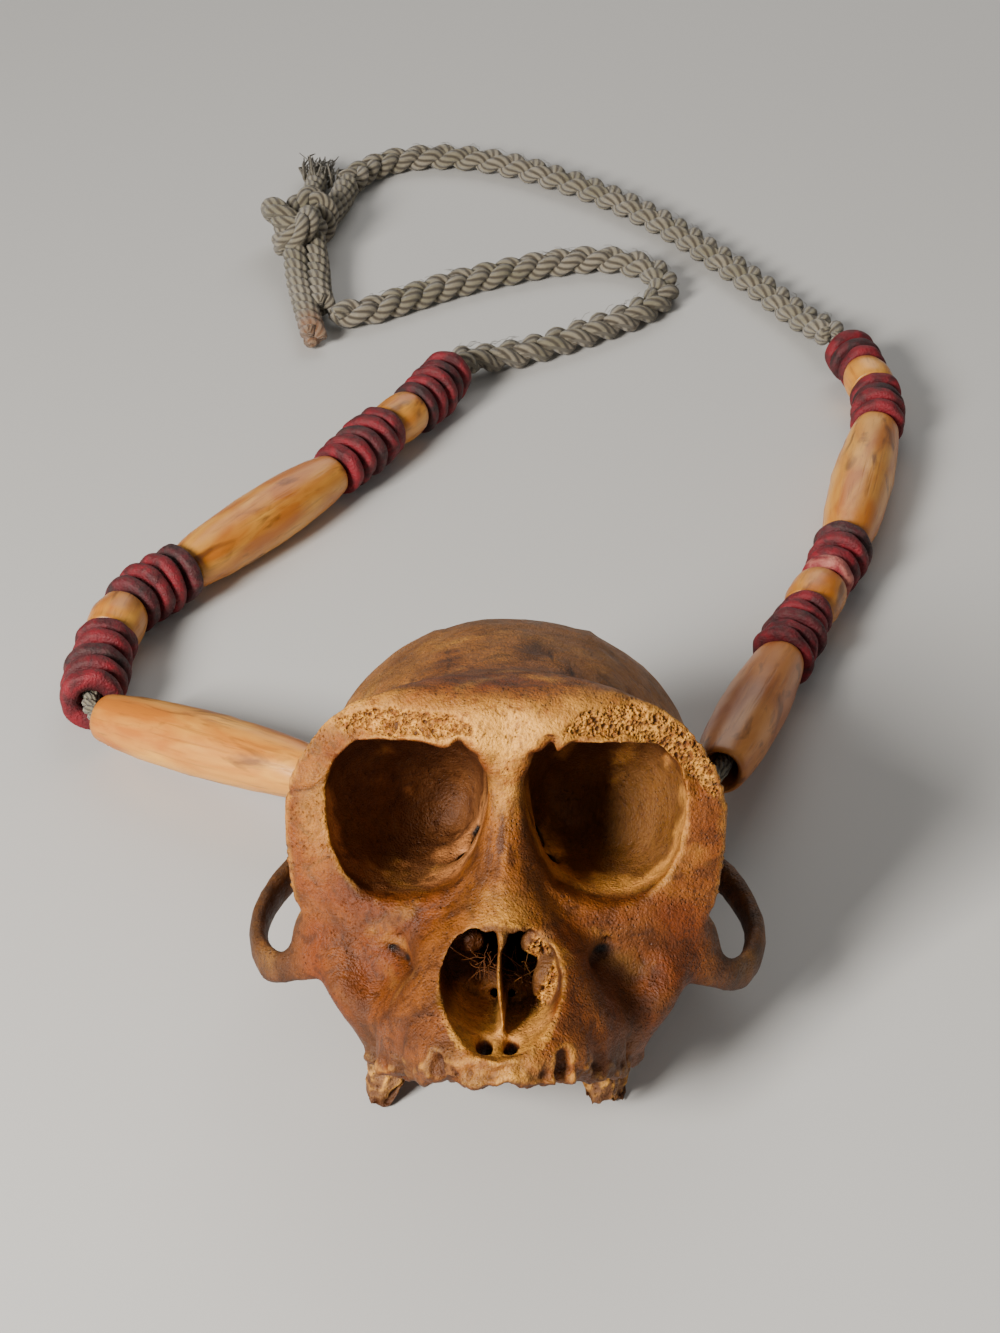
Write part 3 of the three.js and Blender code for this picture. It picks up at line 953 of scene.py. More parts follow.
@dataclass(frozen=True)
class Region:
    """A part of the skull with soft edges, alike on both sides: a span along each axis."""

    x: Span = WHOLE
    y: Span = WHOLE
    z: Span = WHOLE

    def share(self, points: np.ndarray) -> np.ndarray:
        """Returns 1 for points inside the region, fading to 0 outside."""
        x, y, z = side_of(points).T
        return band(x, self.x) * band(y, self.y) * band(z, self.z)


@dataclass(frozen=True)
class Spot:
    """A soft spot: its middle, its reach each way and how strong it is, on one side or both."""

    middle: Place
    reach: Place
    strength: float
    paired: bool = False


def spotted(points: np.ndarray, spots: tuple[Spot, ...]) -> np.ndarray:
    """Adds up soft spots at each point.

    Args:
        points: The points, in the skull's axes.
        spots: The spots.

    Returns:
        Their sum at each point.
    """
    mirrored = side_of(points)
    total = np.zeros(len(points))
    for spot in spots:
        where = mirrored if spot.paired else points
        total += spot.strength * near(where, spot.middle, spot.reach)
    return total


@dataclass(frozen=True)
class Push:
    """Where an orbit's upper rim is drawn out or notched, and which way."""

    middle: Place
    reach_mm: float
    way: Place


@dataclass(frozen=True)
class Seam:
    """A suture, crack or ridge drawn on the skull, in two of its own axes."""

    axes: tuple[int, int]
    line: list[tuple[float, float]]
    width_mm: float
    height_mm: float
    inked: float
    lowest_mm: float = -100.0


@dataclass(frozen=True)
class Survey:
    """The skull's surface, point by point, as its paint needs it."""

    points: np.ndarray
    normals: np.ndarray
    worn: np.ndarray
    curve: np.ndarray
    sweep: np.ndarray
    orbit: np.ndarray
    lump: np.ndarray

    def socket(self) -> np.ndarray:
        """Returns 1 on the orbits' walls."""
        return self.orbit * band(self.points[:, 1], (0, 6, 26, 30))

    def nose(self) -> np.ndarray:
        """Returns which points are seen through the nose opening."""
        x, y, z = self.points.T
        return ((x / 8.9) ** 2 + ((z + 7.4) / 7.9) ** 2 < 1) & (y > -26)

    def nose_floor(self) -> np.ndarray:
        """Returns 1 on the floor of the nose passage."""
        return ramp(-self.points[:, 2], 9.5, 12) * self.nose()

    def arch(self) -> np.ndarray:
        """Returns 1 on the cheek arches."""
        return ramp(np.abs(self.points[:, 0]), 29, 33) * ramp(-self.points[:, 2], 2, 6)


@dataclass
class Skull:
    """The skull, sculpted over its solid."""

    voxel_mm: float = 0.52
    worn_depth_mm: float = 0.45
    plain_triangles: int = 124000
    left_worn: tuple[Place, ...] = (
        (-24, 26.4, 0.9), (-19.4, 27.3, 1.8), (-14.2, 27.5, 1.9), (-9.6, 27.6, 1.8),
        (-5.4, 27.2, 0.8),
    )
    right_worn: tuple[Place, ...] = (
        (9.2, 26.6, 0.9), (12.6, 27.8, 2.2), (17.6, 28, 2.4), (22.2, 26.2, 2.3),
        (25.7, 23.4, 2.1), (28.5, 20, 1.9), (30.6, 16.2, 1),
    )
    scrolls: tuple[Lump, ...] = (
        Lump((6.9, -12.2, -8.4), (2.7, 2.4, 3.9)),
        Lump((4.9, -10.4, -3), (2.6, 2.4, 2.2)),
    )
    dark_lump: Lump = Lump((-5, -8, -3.6), (2.3, 1.6, 2))
    plugs: tuple[Lump, ...] = (
        Lump((4.9, 19.6, 3.4), (2.2, 2, 2.2)),
        Lump((-4.7, 19.6, 3.4), (2.2, 2, 2.2)),
    )
    cheek: Region = Region((10, 12.5, 22, 28), (-27, -21, 3, 8), (-22, -18, -2, 3))
    flare: Region = Region((17.5, 19.5, 26, 29), (-18, -13, 5, 9), (-26, -23, -12, -9))
    groove: Region = Region((*WHOLE[:2], 22, 27), (3, 6, 16, 24), (22, 26, *WHOLE[2:]))
    root: Region = Region((22, 25, 32, 36), (*WHOLE[:2], 8, 13), (-22, -18, -5, -1))
    nose_ridge: Region = Region((*WHOLE[:2], 11, 16), (*WHOLE[:2], -3, 0), (-3.5, -1.5, 20, 24))
    vault: Region = Region(y=(8, 14, *WHOLE[2:]), z=(0, 6, *WHOLE[2:]))
    septum: Region = Region((*WHOLE[:2], 0.9, 1.3), (-22, -18, -7, -6), (-13.6, -12.6, -2.6, -1.6))
    swells: tuple[Spot, ...] = (
        Spot((19.5, -9, -8), (4.5, 6, 4.5), -1.4, True),
        Spot((15, -8, -6.4), (2.2, 4, 2.2), -1.1, True),
        Spot((14.5, -20, -13), (2.2, 7, 6), 0.8, True),
        Spot((0, -3, 28.5), (3.2, 4, 3.4), -0.8),
        Spot((4.4, -5, 24.5), (2.4, 4, 3), 0.5, True),
        Spot((31, 3, 8), (4, 6, 9), 0.5, True),
        Spot((24, 14, 27), (6, 9, 6), -0.7, True),
        Spot((0, -9, 10), (1.3, 7, 9), 0.35),
    )
    nerve_holes: tuple[Spot, ...] = (
        Spot((-16.2, -4.5, -6.7), (1.3, 4, 0.9), 1),
        Spot((-14, -5.5, -7.6), (0.7, 4, 0.6), 0.8),
        Spot((14.4, -5.2, -6), (1.7, 4, 1.1), 1),
    )
    rim_pushes: tuple[Push, ...] = (
        Push((-9.4, -4.4, 24.3), 1.9, (0.9, -0.3, -1.1)),
        Push((-6.2, -4.2, 24.7), 1.5, (0.1, 0.3, 1.7)),
        Push((-4.6, -4.2, 22.6), 1.2, (0.4, 0, 0.5)),
        Push((8.2, -4.4, 24.4), 0.8, (-0.5, -0.3, -1.3)),
        Push((6.2, -4.2, 24.7), 1.5, (-0.1, 0.3, 1.6)),
        Push((4.2, -4.2, 22.8), 1.2, (-0.4, 0, 0.8)),
    )
    # Dark patches: real stains on the vault; painted shade on the sides of the nasal bridge and on the
    # cheeks and muzzle, heavier on the right.
    dark_patches: tuple[Spot, ...] = (
        Spot((3.7, 22, 32.5), (3.2, 3, 4), 0.85),
        Spot((0, 29, 32), (9, 1.6, 4), 0.5),
        Spot((-18, 31.5, 27.7), (3, 4, 4), 0.6),
        Spot((-2, 10.5, 31), (18, 2, 3), 0.35),
        Spot((4, -6, 11), (1.5, 6, 8), 0.45, True),
        Spot((24, -6, -4), (7, 7, 7), 0.25, True),
        Spot((20, -8, -8), (9, 8, 8), 0.3),
        Spot((10, -16, -9), (1.6, 6, 7), 0.3, True),
        Spot((16, -9, -8), (6, 6, 4.5), 0.5),
        Spot((-16, -9, -8), (5, 6, 4), 0.4),
    )
    # Painted highlights on the glabella, the brow and the left orbit's outer rim, and paler spots on
    # the nose tip and the front of the muzzle.
    pale: tuple[Spot, ...] = (
        Spot((0, -6, 21), (3, 7, 6), 1.1),
        Spot((0, -5, 27), (9, 4, 3.6), 1.2),
        Spot((-28, 0, 13), (3, 6, 9), 0.4),
        Spot((0, -13, 1.5), (4, 5, 3.5), 0.5),
        Spot((0, -28, -16), (7, 4, 2.6), 0.5),
    )
    # Black painted shade in the tooth slots.
    tooth_slots: tuple[Spot, ...] = (
        Spot((-2, -22.5, -17), (1.9, 5, 2.6), 1),
        Spot((1.7, -22.5, -17), (1.9, 5, 2.6), 1),
    )
    # Black painted shade at the mouths of the orbit holes.
    orbit_holes: tuple[Spot, ...] = (
        Spot((4.7, 16.2, 4.9), (1.0, 3.4, 1.4), 1, True),
        Spot((6.2, 14, 1.2), (1.5, 2.3, 1.2), 1, True),
    )
    orbit_ripple: Ripple = Ripple(0.45, 4.2, 5.8)
    lump_ripple: Ripple = Ripple(0.6, 1.5, 8.1)
    broad_ripple: Ripple = Ripple(0.3, 8.5, 3.1)
    fine_ripple: Ripple = Ripple(0.1, 2.2, 9.4)
    break_ripples: tuple[Ripple, Ripple] = (Ripple(1.1, 3.1, 5.5), Ripple(0.6, 1.3, 7.7))
    socket_ripple: Ripple = Ripple(1.5, 3.4, 8.8)
    nose_tip_ripple: Ripple = Ripple(1.1, 1.3, 2.2)
    worn_edge_ripple: Ripple = Ripple(0.7, 1.5, 1.2)
    seam_ripples: tuple[Ripple, Ripple] = (Ripple(0.5, 2.4, 11), Ripple(0.5, 2.4, 17))
    sponge_ripple: Ripple = Ripple(1, 2.4, 6.6)
    coarse_sponge: tuple[float, float] = (0.95, 0.52)
    fine_sponge: tuple[float, float] = (0.52, 0.5)
    streaked: Spot = Spot((0, -7, 12), (3, 6, 8), 0.9)
    streak_ripple: Ripple = Ripple(1, 0.85, 3.3)
    mottled: Spot = Spot((-11, 15, 9), (5, 6, 6), 0.5)
    mottle_ripple: Ripple = Ripple(1, 2.8, 4.4)
    vault_crack: Spot = Spot((3.7, 22, 32.5), (2.2, 1.7, 4), 0.7)
    brow_edge: Spot = Spot((17, 0, 27.5), (12, 6, 3), 0.7, True)
    nerve_hole_depth_mm: float = 1.1
    seams: tuple[Seam, ...] = (
        Seam((0, 2), [(-26.6, 17), (-29.5, 15.5), (-33, 15)], 0.3, -0.25, 0.5),
        Seam((0, 2), [(26.8, 18.6), (29.6, 17.4), (33, 17.6)], 0.3, -0.25, 0.5),
        Seam((0, 2), [(-19.5, 0), (-18.6, -4), (-20.4, -8)], 0.3, -0.15, 0.2),
        Seam((0, 2), [(19.5, 0), (18.4, -4), (20.8, -8.4)], 0.3, -0.15, 0.2),
        Seam((0, 1), [(-25, 5), (-20, 12), (-15.5, 22), (-13, 36), (-12.5, 52)], 1.1, 0.35, 0, 15),
        Seam((0, 1), [(25, 5), (19.6, 12), (15, 22), (12.6, 36), (12, 52)], 1.1, 0.4, 0, 15),
        Seam((0, 1), [(-24, 31), (-14, 28), (0, 30.5), (13, 27.6), (24, 31)], 0.3, -0.1, 0.3, 10),
        Seam((0, 1), [(11.6, 10), (9.5, 16.2), (6.4, 20.6), (4.4, 24)], 0.38, -0.2, 0.85, 20),
        Seam((0, 1), [(-9.6, 13), (-8.8, 19), (-10, 26)], 0.3, -0.1, 0.5, 20),
    )

    def solid_forms(self, points: np.ndarray, relaxer: Relaxer) -> np.ndarray:
        """Evens out the facets, and the folds where one bone flows into the next.

        Args:
            points: The skull's points.
            relaxer: What evens them.

        Returns:
            The moved points.
        """
        points = relaxer.even_keeping_size(points, 30)
        x, y, z = side_of(points).T
        cheek, flare, groove, root = (
            region.share(points) for region in (self.cheek, self.flare, self.groove, self.root)
        )
        sides = np.clip(cheek + groove + 0.8 * root + flare, 0, 1)
        nose_edge = ((x / 8.6) ** 2 + ((z + 7.4) / 8.4) ** 2) ** 0.5
        ridge = self.nose_ridge.share(points) * ramp(nose_edge, 1, 1.25)
        vault = self.vault.share(points)
        points = relaxer.even(points, 60, 0.5 * sides)
        points = relaxer.even(points, 20, 0.5 * ridge)
        orbit = self.in_orbit(points) * band(y, (2, 6, 24, 30))
        points = relaxer.even(points, 160, 0.5 * vault * (1 - orbit))
        points = relaxer.even(points, 130, 0.5 * orbit)
        return relaxer.even(points, 2)

    def in_orbit(self, points: np.ndarray) -> np.ndarray:
        """Returns 1 for points seen through an orbit's rim and 0 for others."""
        x, z = np.abs(points[:, 0]), points[:, 2]
        return (((x - 14.4) / 12.6) ** 2 + ((z - 11.5) / 13.2) ** 2 < 1).astype(float)

    def raise_forms(self, points: np.ndarray, normals: np.ndarray) -> np.ndarray:
        """Raises ridges and spurs and sinks hollows that the solid leaves out.

        Args:
            points: The skull's points.
            normals: Their normals.

        Returns:
            The moved points.
        """
        _, y, z = points.T
        orbit = self.in_orbit(points) * band(y, (1, 6, 24, 30))
        rise = spotted(points, self.swells)
        rise -= self.nerve_hole_depth_mm * spotted(points, self.nerve_holes)
        rise += orbit * self.orbit_ripple.at(points)
        rise += near(points, self.dark_lump.middle, 3.2) * self.lump_ripple.at(points)
        rise += self.broad_ripple.at(points) * ramp(z, -30, -10) + self.fine_ripple.at(points)
        lower_edge = -17.4 - (y + 30) * 10.1 / 34
        broken = ramp(lower_edge - z, -4.6, -0.8) * ramp(-y, -12, -4)
        rise += broken * sum(ripple.at(points) for ripple in self.break_ripples)
        moved = points + rise[:, None] * normals
        upright = moved * np.array([1, 1, 0.2])
        moved[:, 2] += broken * np.maximum(0, self.socket_ripple.at(upright))
        for push in self.rim_pushes:
            reach = (push.reach_mm, 4, push.reach_mm)
            moved = moved + near(moved, push.middle, reach)[:, None] * np.array(push.way)
        ragged = near(moved, (0, -15, -0.8), (5, 3, 1.8)) * ramp(-y, -6, 0)
        moved[:, 2] += ragged * self.nose_tip_ripple.at(moved)
        blade = self.septum.share(points)
        moved[:, 0] = moved[:, 0] * (1 - 0.5 * blade) + blade * 0.35 * np.sin(z / 3)
        return moved

    def worn(self, points: np.ndarray) -> np.ndarray:
        """Works out how far each point is worn through to the spongy bone.

        Args:
            points: The skull's points.

        Returns:
            0 for sound bone to 1 for bare sponge.
        """
        worn = np.zeros(len(points))
        facing = ramp(-points[:, 1], -6.5, -4.5)
        close = np.flatnonzero((facing > 0) & (points[:, 2] > 12))
        ripple = np.zeros(len(points))
        ripple[close] = self.worn_edge_ripple.at(points[close])
        flat = points[:, [0, 2]]
        for strip in (self.left_worn, self.right_worn):
            for start, end in zip(strip[:-1], strip[1:]):
                low, high = np.array(start), np.array(end)
                along = (high - low)[:2]
                share = np.clip((flat - low[:2]) @ along / (along @ along), 0, 1)
                gap = np.linalg.norm(flat - low[:2] - share[:, None] * along, axis=1)
                half = low[2] + share * (high[2] - low[2])
                worn = np.maximum(worn, ramp(half + ripple - gap, -0.12, 0.22) * facing)
        for scroll in self.scrolls:
            shown = ramp(-scroll.reach(points), -1.12, -1.0) * ramp(-points[:, 1], 9, 11)
            flank = points[:, 0] - scroll.middle[0] - 0.5 * (points[:, 2] - scroll.middle[2])
            worn = np.maximum(worn, shown * ramp(flank, -1.5, -0.9))
        return worn

    def by_vault_seams(self, points: np.ndarray, reach_mm: float) -> np.ndarray:
        """Finds the points of the vault that lie beside an inked seam.

        Args:
            points: The skull's points.
            reach_mm: How far from the seam they may lie.

        Returns:
            True for each such point.
        """
        close = np.zeros(len(points), dtype=bool)
        for seam in self.seams:
            if seam.axes == (0, 1) and seam.inked > 0.4:
                close |= distance_to_line(points[:, :2], seam.line) < reach_mm
        return close & (points[:, 2] > 18)

    def marks(self, points: np.ndarray) -> tuple[np.ndarray, np.ndarray]:
        """Draws the seams.

        Args:
            points: The skull's points.

        Returns:
            How high the seams lift each point, and how dark they ink it.
        """
        rise = np.zeros(len(points))
        ink = np.zeros(len(points))
        wander = np.stack([ripple.at(points) for ripple in self.seam_ripples], axis=1)
        for seam in self.seams:
            flat = points[:, list(seam.axes)] + wander
            shown = ramp(points[:, 2], seam.lowest_mm, seam.lowest_mm + 3)
            if seam.axes == (0, 2):
                shown = ramp(-points[:, 1], -6, -3)
            share = np.exp(-((distance_to_line(flat, seam.line) / seam.width_mm) ** 2)) * shown
            rise += seam.height_mm * share
            ink = np.maximum(ink, seam.inked * share)
        return rise, ink

    def survey(self, piece: bpy.types.Object, worn: np.ndarray) -> Survey:
        """Measures the finished surface.

        Args:
            piece: The skull.
            worn: How worn each point is.

        Returns:
            The survey.
        """
        points, normals = SEAT.points(piece), SEAT.normals(piece)
        relaxer = Relaxer(edges_of(piece.data), len(points))
        heights = (
            np.sum((points - relaxer.even(points, steps)) * normals, axis=1) for steps in (10, 60)
        )
        lump = ramp(-self.dark_lump.reach(points), -1.5, -1.15)
        return Survey(points, normals, worn, *heights, self.in_orbit(points), lump)

    def hollows(self, seen: Survey) -> np.ndarray:
        """Works out the painted shade inside the orbits and the nose, darkest under the brow and on
        the right orbit's inner wall, and darkens the dark lump in the nose.

        Args:
            seen: The skull's surface.

        Returns:
            0 in the open to 1 in the dark.
        """
        x, y, z = seen.points.T
        socket = seen.socket()
        inner = np.where(seen.nose(), ramp(y, -22, -9), 0) * (1 - seen.nose_floor())
        depths = (
            0.9 * socket * ramp(z - 0.5 * np.abs(x), 8, 19),
            0.7 * socket * ramp(-x, -8, 2) * ramp(x, 0, 1),
            0.9 * seen.lump,
            inner * (1 - 0.9 * ramp(seen.worn, 0.1, 0.5)) * 0.85,
        )
        return np.maximum.reduce(depths)

    def darkness(self, seen: Survey) -> np.ndarray:
        """Adds up painted shade in the hollows, creases, pits and undersides, and dark patches,
        streaks and mottles.

        Args:
            seen: The skull's surface.

        Returns:
            How dark brown each point is.
        """
        points = seen.points
        open_air = 1 - seen.socket()
        # Painted shade: in the orbits and the nose, in creases, on faces turned down and in broad
        # hollows.
        dark = self.hollows(seen) + 0.8 * ramp(-seen.curve, 0.05, 0.28)
        dark += 0.5 * ramp(-seen.normals[:, 2], 0.2, 0.9) * open_air
        dark += 0.3 * ramp(-seen.sweep, 0.3, 1.2) * open_air
        dark += spotted(points, self.dark_patches) + 0.4 * seen.arch()
        drawn_out = points * np.array([1, 0.4, 0.14])
        streaks = ramp(self.streak_ripple.at(drawn_out), -0.05, 0.2)
        dark += spotted(points, (self.streaked,)) * streaks
        dark += spotted(points, (self.mottled,)) * self.mottle_ripple.at(points)
        return np.clip(dark, 0, 0.92)

    def blackness(self, seen: Survey, ink: np.ndarray) -> np.ndarray:
        """Gathers inked seams, the vault's darkest stain, and black painted shade in the tooth slots,
        the orbit holes and the nerve holes.

        Args:
            seen: The skull's surface.
            ink: How dark the seams are.

        Returns:
            How black each point is.
        """
        points = seen.points
        below = ramp(-points[:, 2], 14.9, 15.6)
        marks = (
            ink,
            # Black painted shade in the tooth slots and the holes.
            ramp(spotted(points, self.tooth_slots), 0.2, 0.7) * below,
            ramp(spotted(points, self.orbit_holes), 0.3, 0.6),
            ramp(spotted(points, self.nerve_holes), 0.35, 0.75),
            spotted(points, (self.vault_crack,)),
        )
        return np.maximum.reduce(marks)

    def lightness(self, seen: Survey) -> np.ndarray:
        """Adds up painted highlights and rubbed edges: ridges, the brow, the glabella and the left
        orbit's rim, faces turned up, the nose floor and the right orbit's walls.

        Args:
            seen: The skull's surface.

        Returns:
            How cream each point is.
        """
        x, y, z = seen.points.T
        light = np.maximum(0.45 * ramp(seen.curve, 0.06, 0.26), 0.35 * ramp(seen.sweep, 0.3, 1.1))
        light = light * (1 - 0.7 * ramp(y, 6, 12)) + spotted(seen.points, self.pale)
        # Painted highlight along the brow's front edge.
        light += spotted(seen.points, (self.brow_edge,)) * ramp(-y, -6, -2)
        # Painted light on the nose floor, towards the front.
        light += 0.5 * seen.nose_floor() * ramp(-y, -2, 8)
        # Less in the painted shade, and none on faces turned down.
        light = light * (1 - 0.8 * self.hollows(seen)) * ramp(seen.normals[:, 2], -0.6, 0.2)
        # Painted light on the right orbit's lower walls.
        light += 0.25 * seen.socket() * (1 + np.sign(x)) * (1 - ramp(z, 14, 24))
        return light * (1 - seen.lump)

    def paint(self, piece: bpy.types.Object, seen: Survey, ink: np.ndarray, pores: np.ndarray) -> None:
        """Stores what the finish needs to know of each place.

        Args:
            piece: The skull.
            seen: Its surface.
            ink: How dark the seams are.
            pores: How deep in a pore each point is.
        """
        x, y, z = seen.points.T
        side = np.abs(x)
        socket = seen.socket()
        # A paler tan lining: painted light on the orbit walls, less high up, and on the nose floor,
        # with the nasal scrolls' own paler bone.
        lit_linings = [socket * (1 - 0.6 * ramp(z, 14, 24)), seen.nose_floor() * ramp(y, -24, -20)]
        lit_linings += [ramp(-scroll.reach(seen.points), -1.3, -1.1) for scroll in self.scrolls]
        behind = ramp(y, 4, 10) * (1 - seen.orbit * ramp(-y, -30, -26))
        arch_grey = ramp(side, 29, 34) * ramp(-z, 2, 6)
        under_grey = 0.7 * ramp(-z, 12, 20) * ramp(-y, -14, -6)
        layers = {
            # The darker layer holds painted shade with real stains, the lighter one painted highlights
            # with rubbed edges, and the black one inked seams with painted shade in holes.
            "dark": np.maximum(self.darkness(seen) * (1 - 0.8 * seen.worn), pores),
            "light": self.lightness(seen),
            "lining": np.maximum.reduce(lit_linings),
            "grey": np.maximum(arch_grey, under_grey),
            "aged": np.maximum.reduce(
                (behind, 0.15 * seen.orbit, 0.8 * ramp(side, 28, 33) * ramp(-z, 2, 6))
            ),
            "crack": self.blackness(seen, ink),
            "worn": seen.worn,
        }
        for name, values in layers.items():
            set_values(piece.data, name, values)

    def sponge(self, points: np.ndarray, worn: np.ndarray) -> np.ndarray:
        """Works out the pores of the worn places, coarse here and fine there.

        Args:
            points: The skull's points.
            worn: How worn each point is.

        Returns:
            1 in a pore and 0 on the walls between.
        """
        spongy = np.flatnonzero(worn > 0)
        coarse = cell_pits(points[spongy], *self.coarse_sponge)
        fine = cell_pits(points[spongy], *self.fine_sponge)
        share = ramp(self.sponge_ripple.at(points[spongy]), -0.25, 0.15)
        foam = np.zeros(len(points))
        foam[spongy] = np.maximum(coarse * share, 0.75 * fine)
        return foam

    def build(self) -> bpy.types.Object:
        """Sculpts the skull over a copy of its solid.

        Returns:
            The finished piece.
        """
        lumps = (*self.scrolls, *self.plugs, self.dark_lump)
        piece = piece_from_solid("skull", "skull_bone", self.voxel_mm, lumps)
        points = SEAT.points(piece)
        relaxer = Relaxer(edges_of(piece.data), len(points))
        SEAT.place(piece, self.solid_forms(points, relaxer))
        self.thin_out(piece)
        SEAT.place(piece, self.raise_forms(SEAT.points(piece), SEAT.normals(piece)))
        for reach_mm in (2.2, 1.2):
            points = SEAT.points(piece)
            subdivide_where(piece, (self.worn(points) > 0) | self.by_vault_seams(points, reach_mm))
        points, normals = SEAT.points(piece), SEAT.normals(piece)
        worn = self.worn(points)
        foam = self.sponge(points, worn)
        rise, ink = self.marks(points)
        depth_mm = self.worn_depth_mm * (1 + 0.8 * ramp(-points[:, 2], -2, 2))
        rise = rise * (1 - worn) - worn * depth_mm * (0.3 + foam)
        SEAT.place(piece, points + rise[:, None] * normals)
        seen = self.survey(piece, worn * (1 - foam))
        self.paint(piece, seen, ink, 0.9 * worn * foam)
        return piece

    def thin_out(self, piece: bpy.types.Object) -> None:
        """Uses fewer faces where the skull is plain, or inside it.

        Args:
            piece: The skull.
        """
        plain = ramp(SEAT.points(piece)[:, 1], 3, 9)
        group = piece.vertex_groups.new(name="plain")
        step = 0.25
        for level in np.arange(step, 1 + step, step):
            chosen = np.flatnonzero((plain > level - step) & (plain <= level))
            if len(chosen):
                group.add(chosen.tolist(), level, "REPLACE")
        ratio = min(1.0, self.plain_triangles / (2 * len(piece.data.polygons)))
        settings = {"ratio": ratio, "vertex_group": "plain", "vertex_group_factor": 6.0}
        apply_modifier(piece, "DECIMATE", **settings)
        piece.vertex_groups.clear()


@dataclass
class Teeth:
    """The broken molars, roughened over their solids."""

    names: tuple[str, ...] = (
        "molar_left_front", "molar_left_back", "molar_right_front", "molar_right_back",
    )
    widths: dict[str, float] = field(default_factory=lambda: {"left": 1.25, "right": 1.0})
    shifts_mm: dict[str, float] = field(default_factory=lambda: {"left": 1.0, "right": -1.7})
    voxel_mm: float = 0.3

    def hang(self, points: np.ndarray, side: str) -> np.ndarray:
        """Widens and shifts a tooth towards its tip.

        Args:
            points: The tooth's points.
            side: left or right.

        Returns:
            The moved points.
        """
        x, _, z = points.T
        share = ramp(-z, -z.max() + 1, -z.min() - 1)
        moved = points.copy()
        moved[:, 0] += share * (self.shifts_mm[side] + (self.widths[side] - 1) * (x - x.mean()))
        return moved

    def broken(self, points: np.ndarray, normals: np.ndarray, number: int) -> np.ndarray:
        """Roughens a tooth and breaks its tip off aslant.

        Args:
            points: The tooth's points.
            normals: Their normals.
            number: Which tooth it is.

        Returns:
            The moved points.
        """
        tip = self.tip(points)
        rise = 0.3 * cloud(points, 1.6, number) - 0.3 * ramp(cloud(points, 2.6, 4 + number), 0, 0.3)
        rise -= tip * (0.3 + 1.1 * np.abs(cloud(points, 1.7, 9 + number)))
        moved = points + rise[:, None] * normals
        middle = moved.mean(axis=0)
        away = moved - middle
        slope = 0.6 * away[:, 1] - np.sign(middle[0]) * 1.1 * away[:, 0]
        moved[:, 2] += tip * np.maximum(0, slope + 0.5 + 0.8 * cloud(moved, 1.5, 3))
        return moved

    def tip(self, points: np.ndarray) -> np.ndarray:
        """Returns 1 at a tooth's tip, fading to 0 towards its root."""
        return ramp(points[:, 2].min() - points[:, 2], -4.6, -0.4)

    def build(self, material: bpy.types.Material) -> None:
        """Makes each tooth.

        Args:
            material: Their finish.
        """
        for number, name in enumerate(self.names):
            piece = piece_from_solid(name, f"{name}_root", self.voxel_mm)
            points = SEAT.points(piece)
            relaxer = Relaxer(edges_of(piece.data), len(points))
            points = self.hang(relaxer.even(points, 5), name.split("_")[1])
            SEAT.place(piece, points)
            normals = SEAT.normals(piece)
            tip = self.tip(points)
            points = self.broken(points, normals, number)
            SEAT.place(piece, points)
            curve = np.sum((points - relaxer.even(points, 8)) * normals, axis=1)
            # Painted shade in the teeth's creases, darker towards the broken tips, and painted glints
            # on their ridges.
            dark = np.minimum(ramp(-curve, 0.02, 0.2) + 0.5 * tip, 0.9)
            set_values(piece.data, "dark", dark)
            set_values(piece.data, "light", ramp(curve, 0.0, 0.15) * (1 - tip))
            set_values(piece.data, "grey", 0.7 * ramp(cloud(points, 3, 6), -0.1, 0.4))
            finish_piece(piece, material, "tooth", name)


# The necklace


@dataclass(frozen=True)
class Axis:
    """A strung piece's middle, direction and length, read from its solid."""

    middle: np.ndarray
    way: np.ndarray
    length: float

    @classmethod
    def of(cls, node: str, flat: bool) -> "Axis":
        """Works out a ring's axis.

        Args:
            node: The solid's name.
            flat: True for a disc, whose axis is its short way.

        Returns:
            The axis.
        """
        points = np.unique(np.round(points_of(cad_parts[node].data), 6), axis=0)
        middle = points.mean(axis=0)
        _, ways = np.linalg.eigh(np.cov((points - middle).T))
        way = ways[:, 0] if flat else ways[:, 2]
        reach = (points - middle) @ way
        middle = middle + way * (reach.max() + reach.min()) / 2
        return cls(middle, way, float(reach.max() - reach.min()))

    def matrix(self, turn: float) -> Matrix:
        """Returns the place of a piece made along Z, turned about its own axis."""
        aim = Vector(self.way).to_track_quat("Z", "Y").to_matrix().to_4x4()
        return Matrix.Translation(Vector(self.middle)) @ aim @ Matrix.Rotation(turn, 4, "Z")


class Strung(Enum):
    """The kinds of strung piece, each named as its solids are."""

    LONG = "long_bead"
    SHORT = "short_bead"
    DISC = "disc"


@dataclass(frozen=True)
class RingForm:
    """How a kind of strung piece is turned, and how uneven it is."""

    sides: int
    belly_mm: float
    end_mm: float
    oval: float
    rough: float
    seed: int


RING_FORMS = {
    Strung.LONG: RingForm(40, 6.15, 4.4, 0.03, 0.03, 3),
    Strung.SHORT: RingForm(40, 5.4, 4.7, 0.03, 0.03, 4),
    Strung.DISC: RingForm(28, 5.8, 4.8, 0.035, 0.07, 5),
}


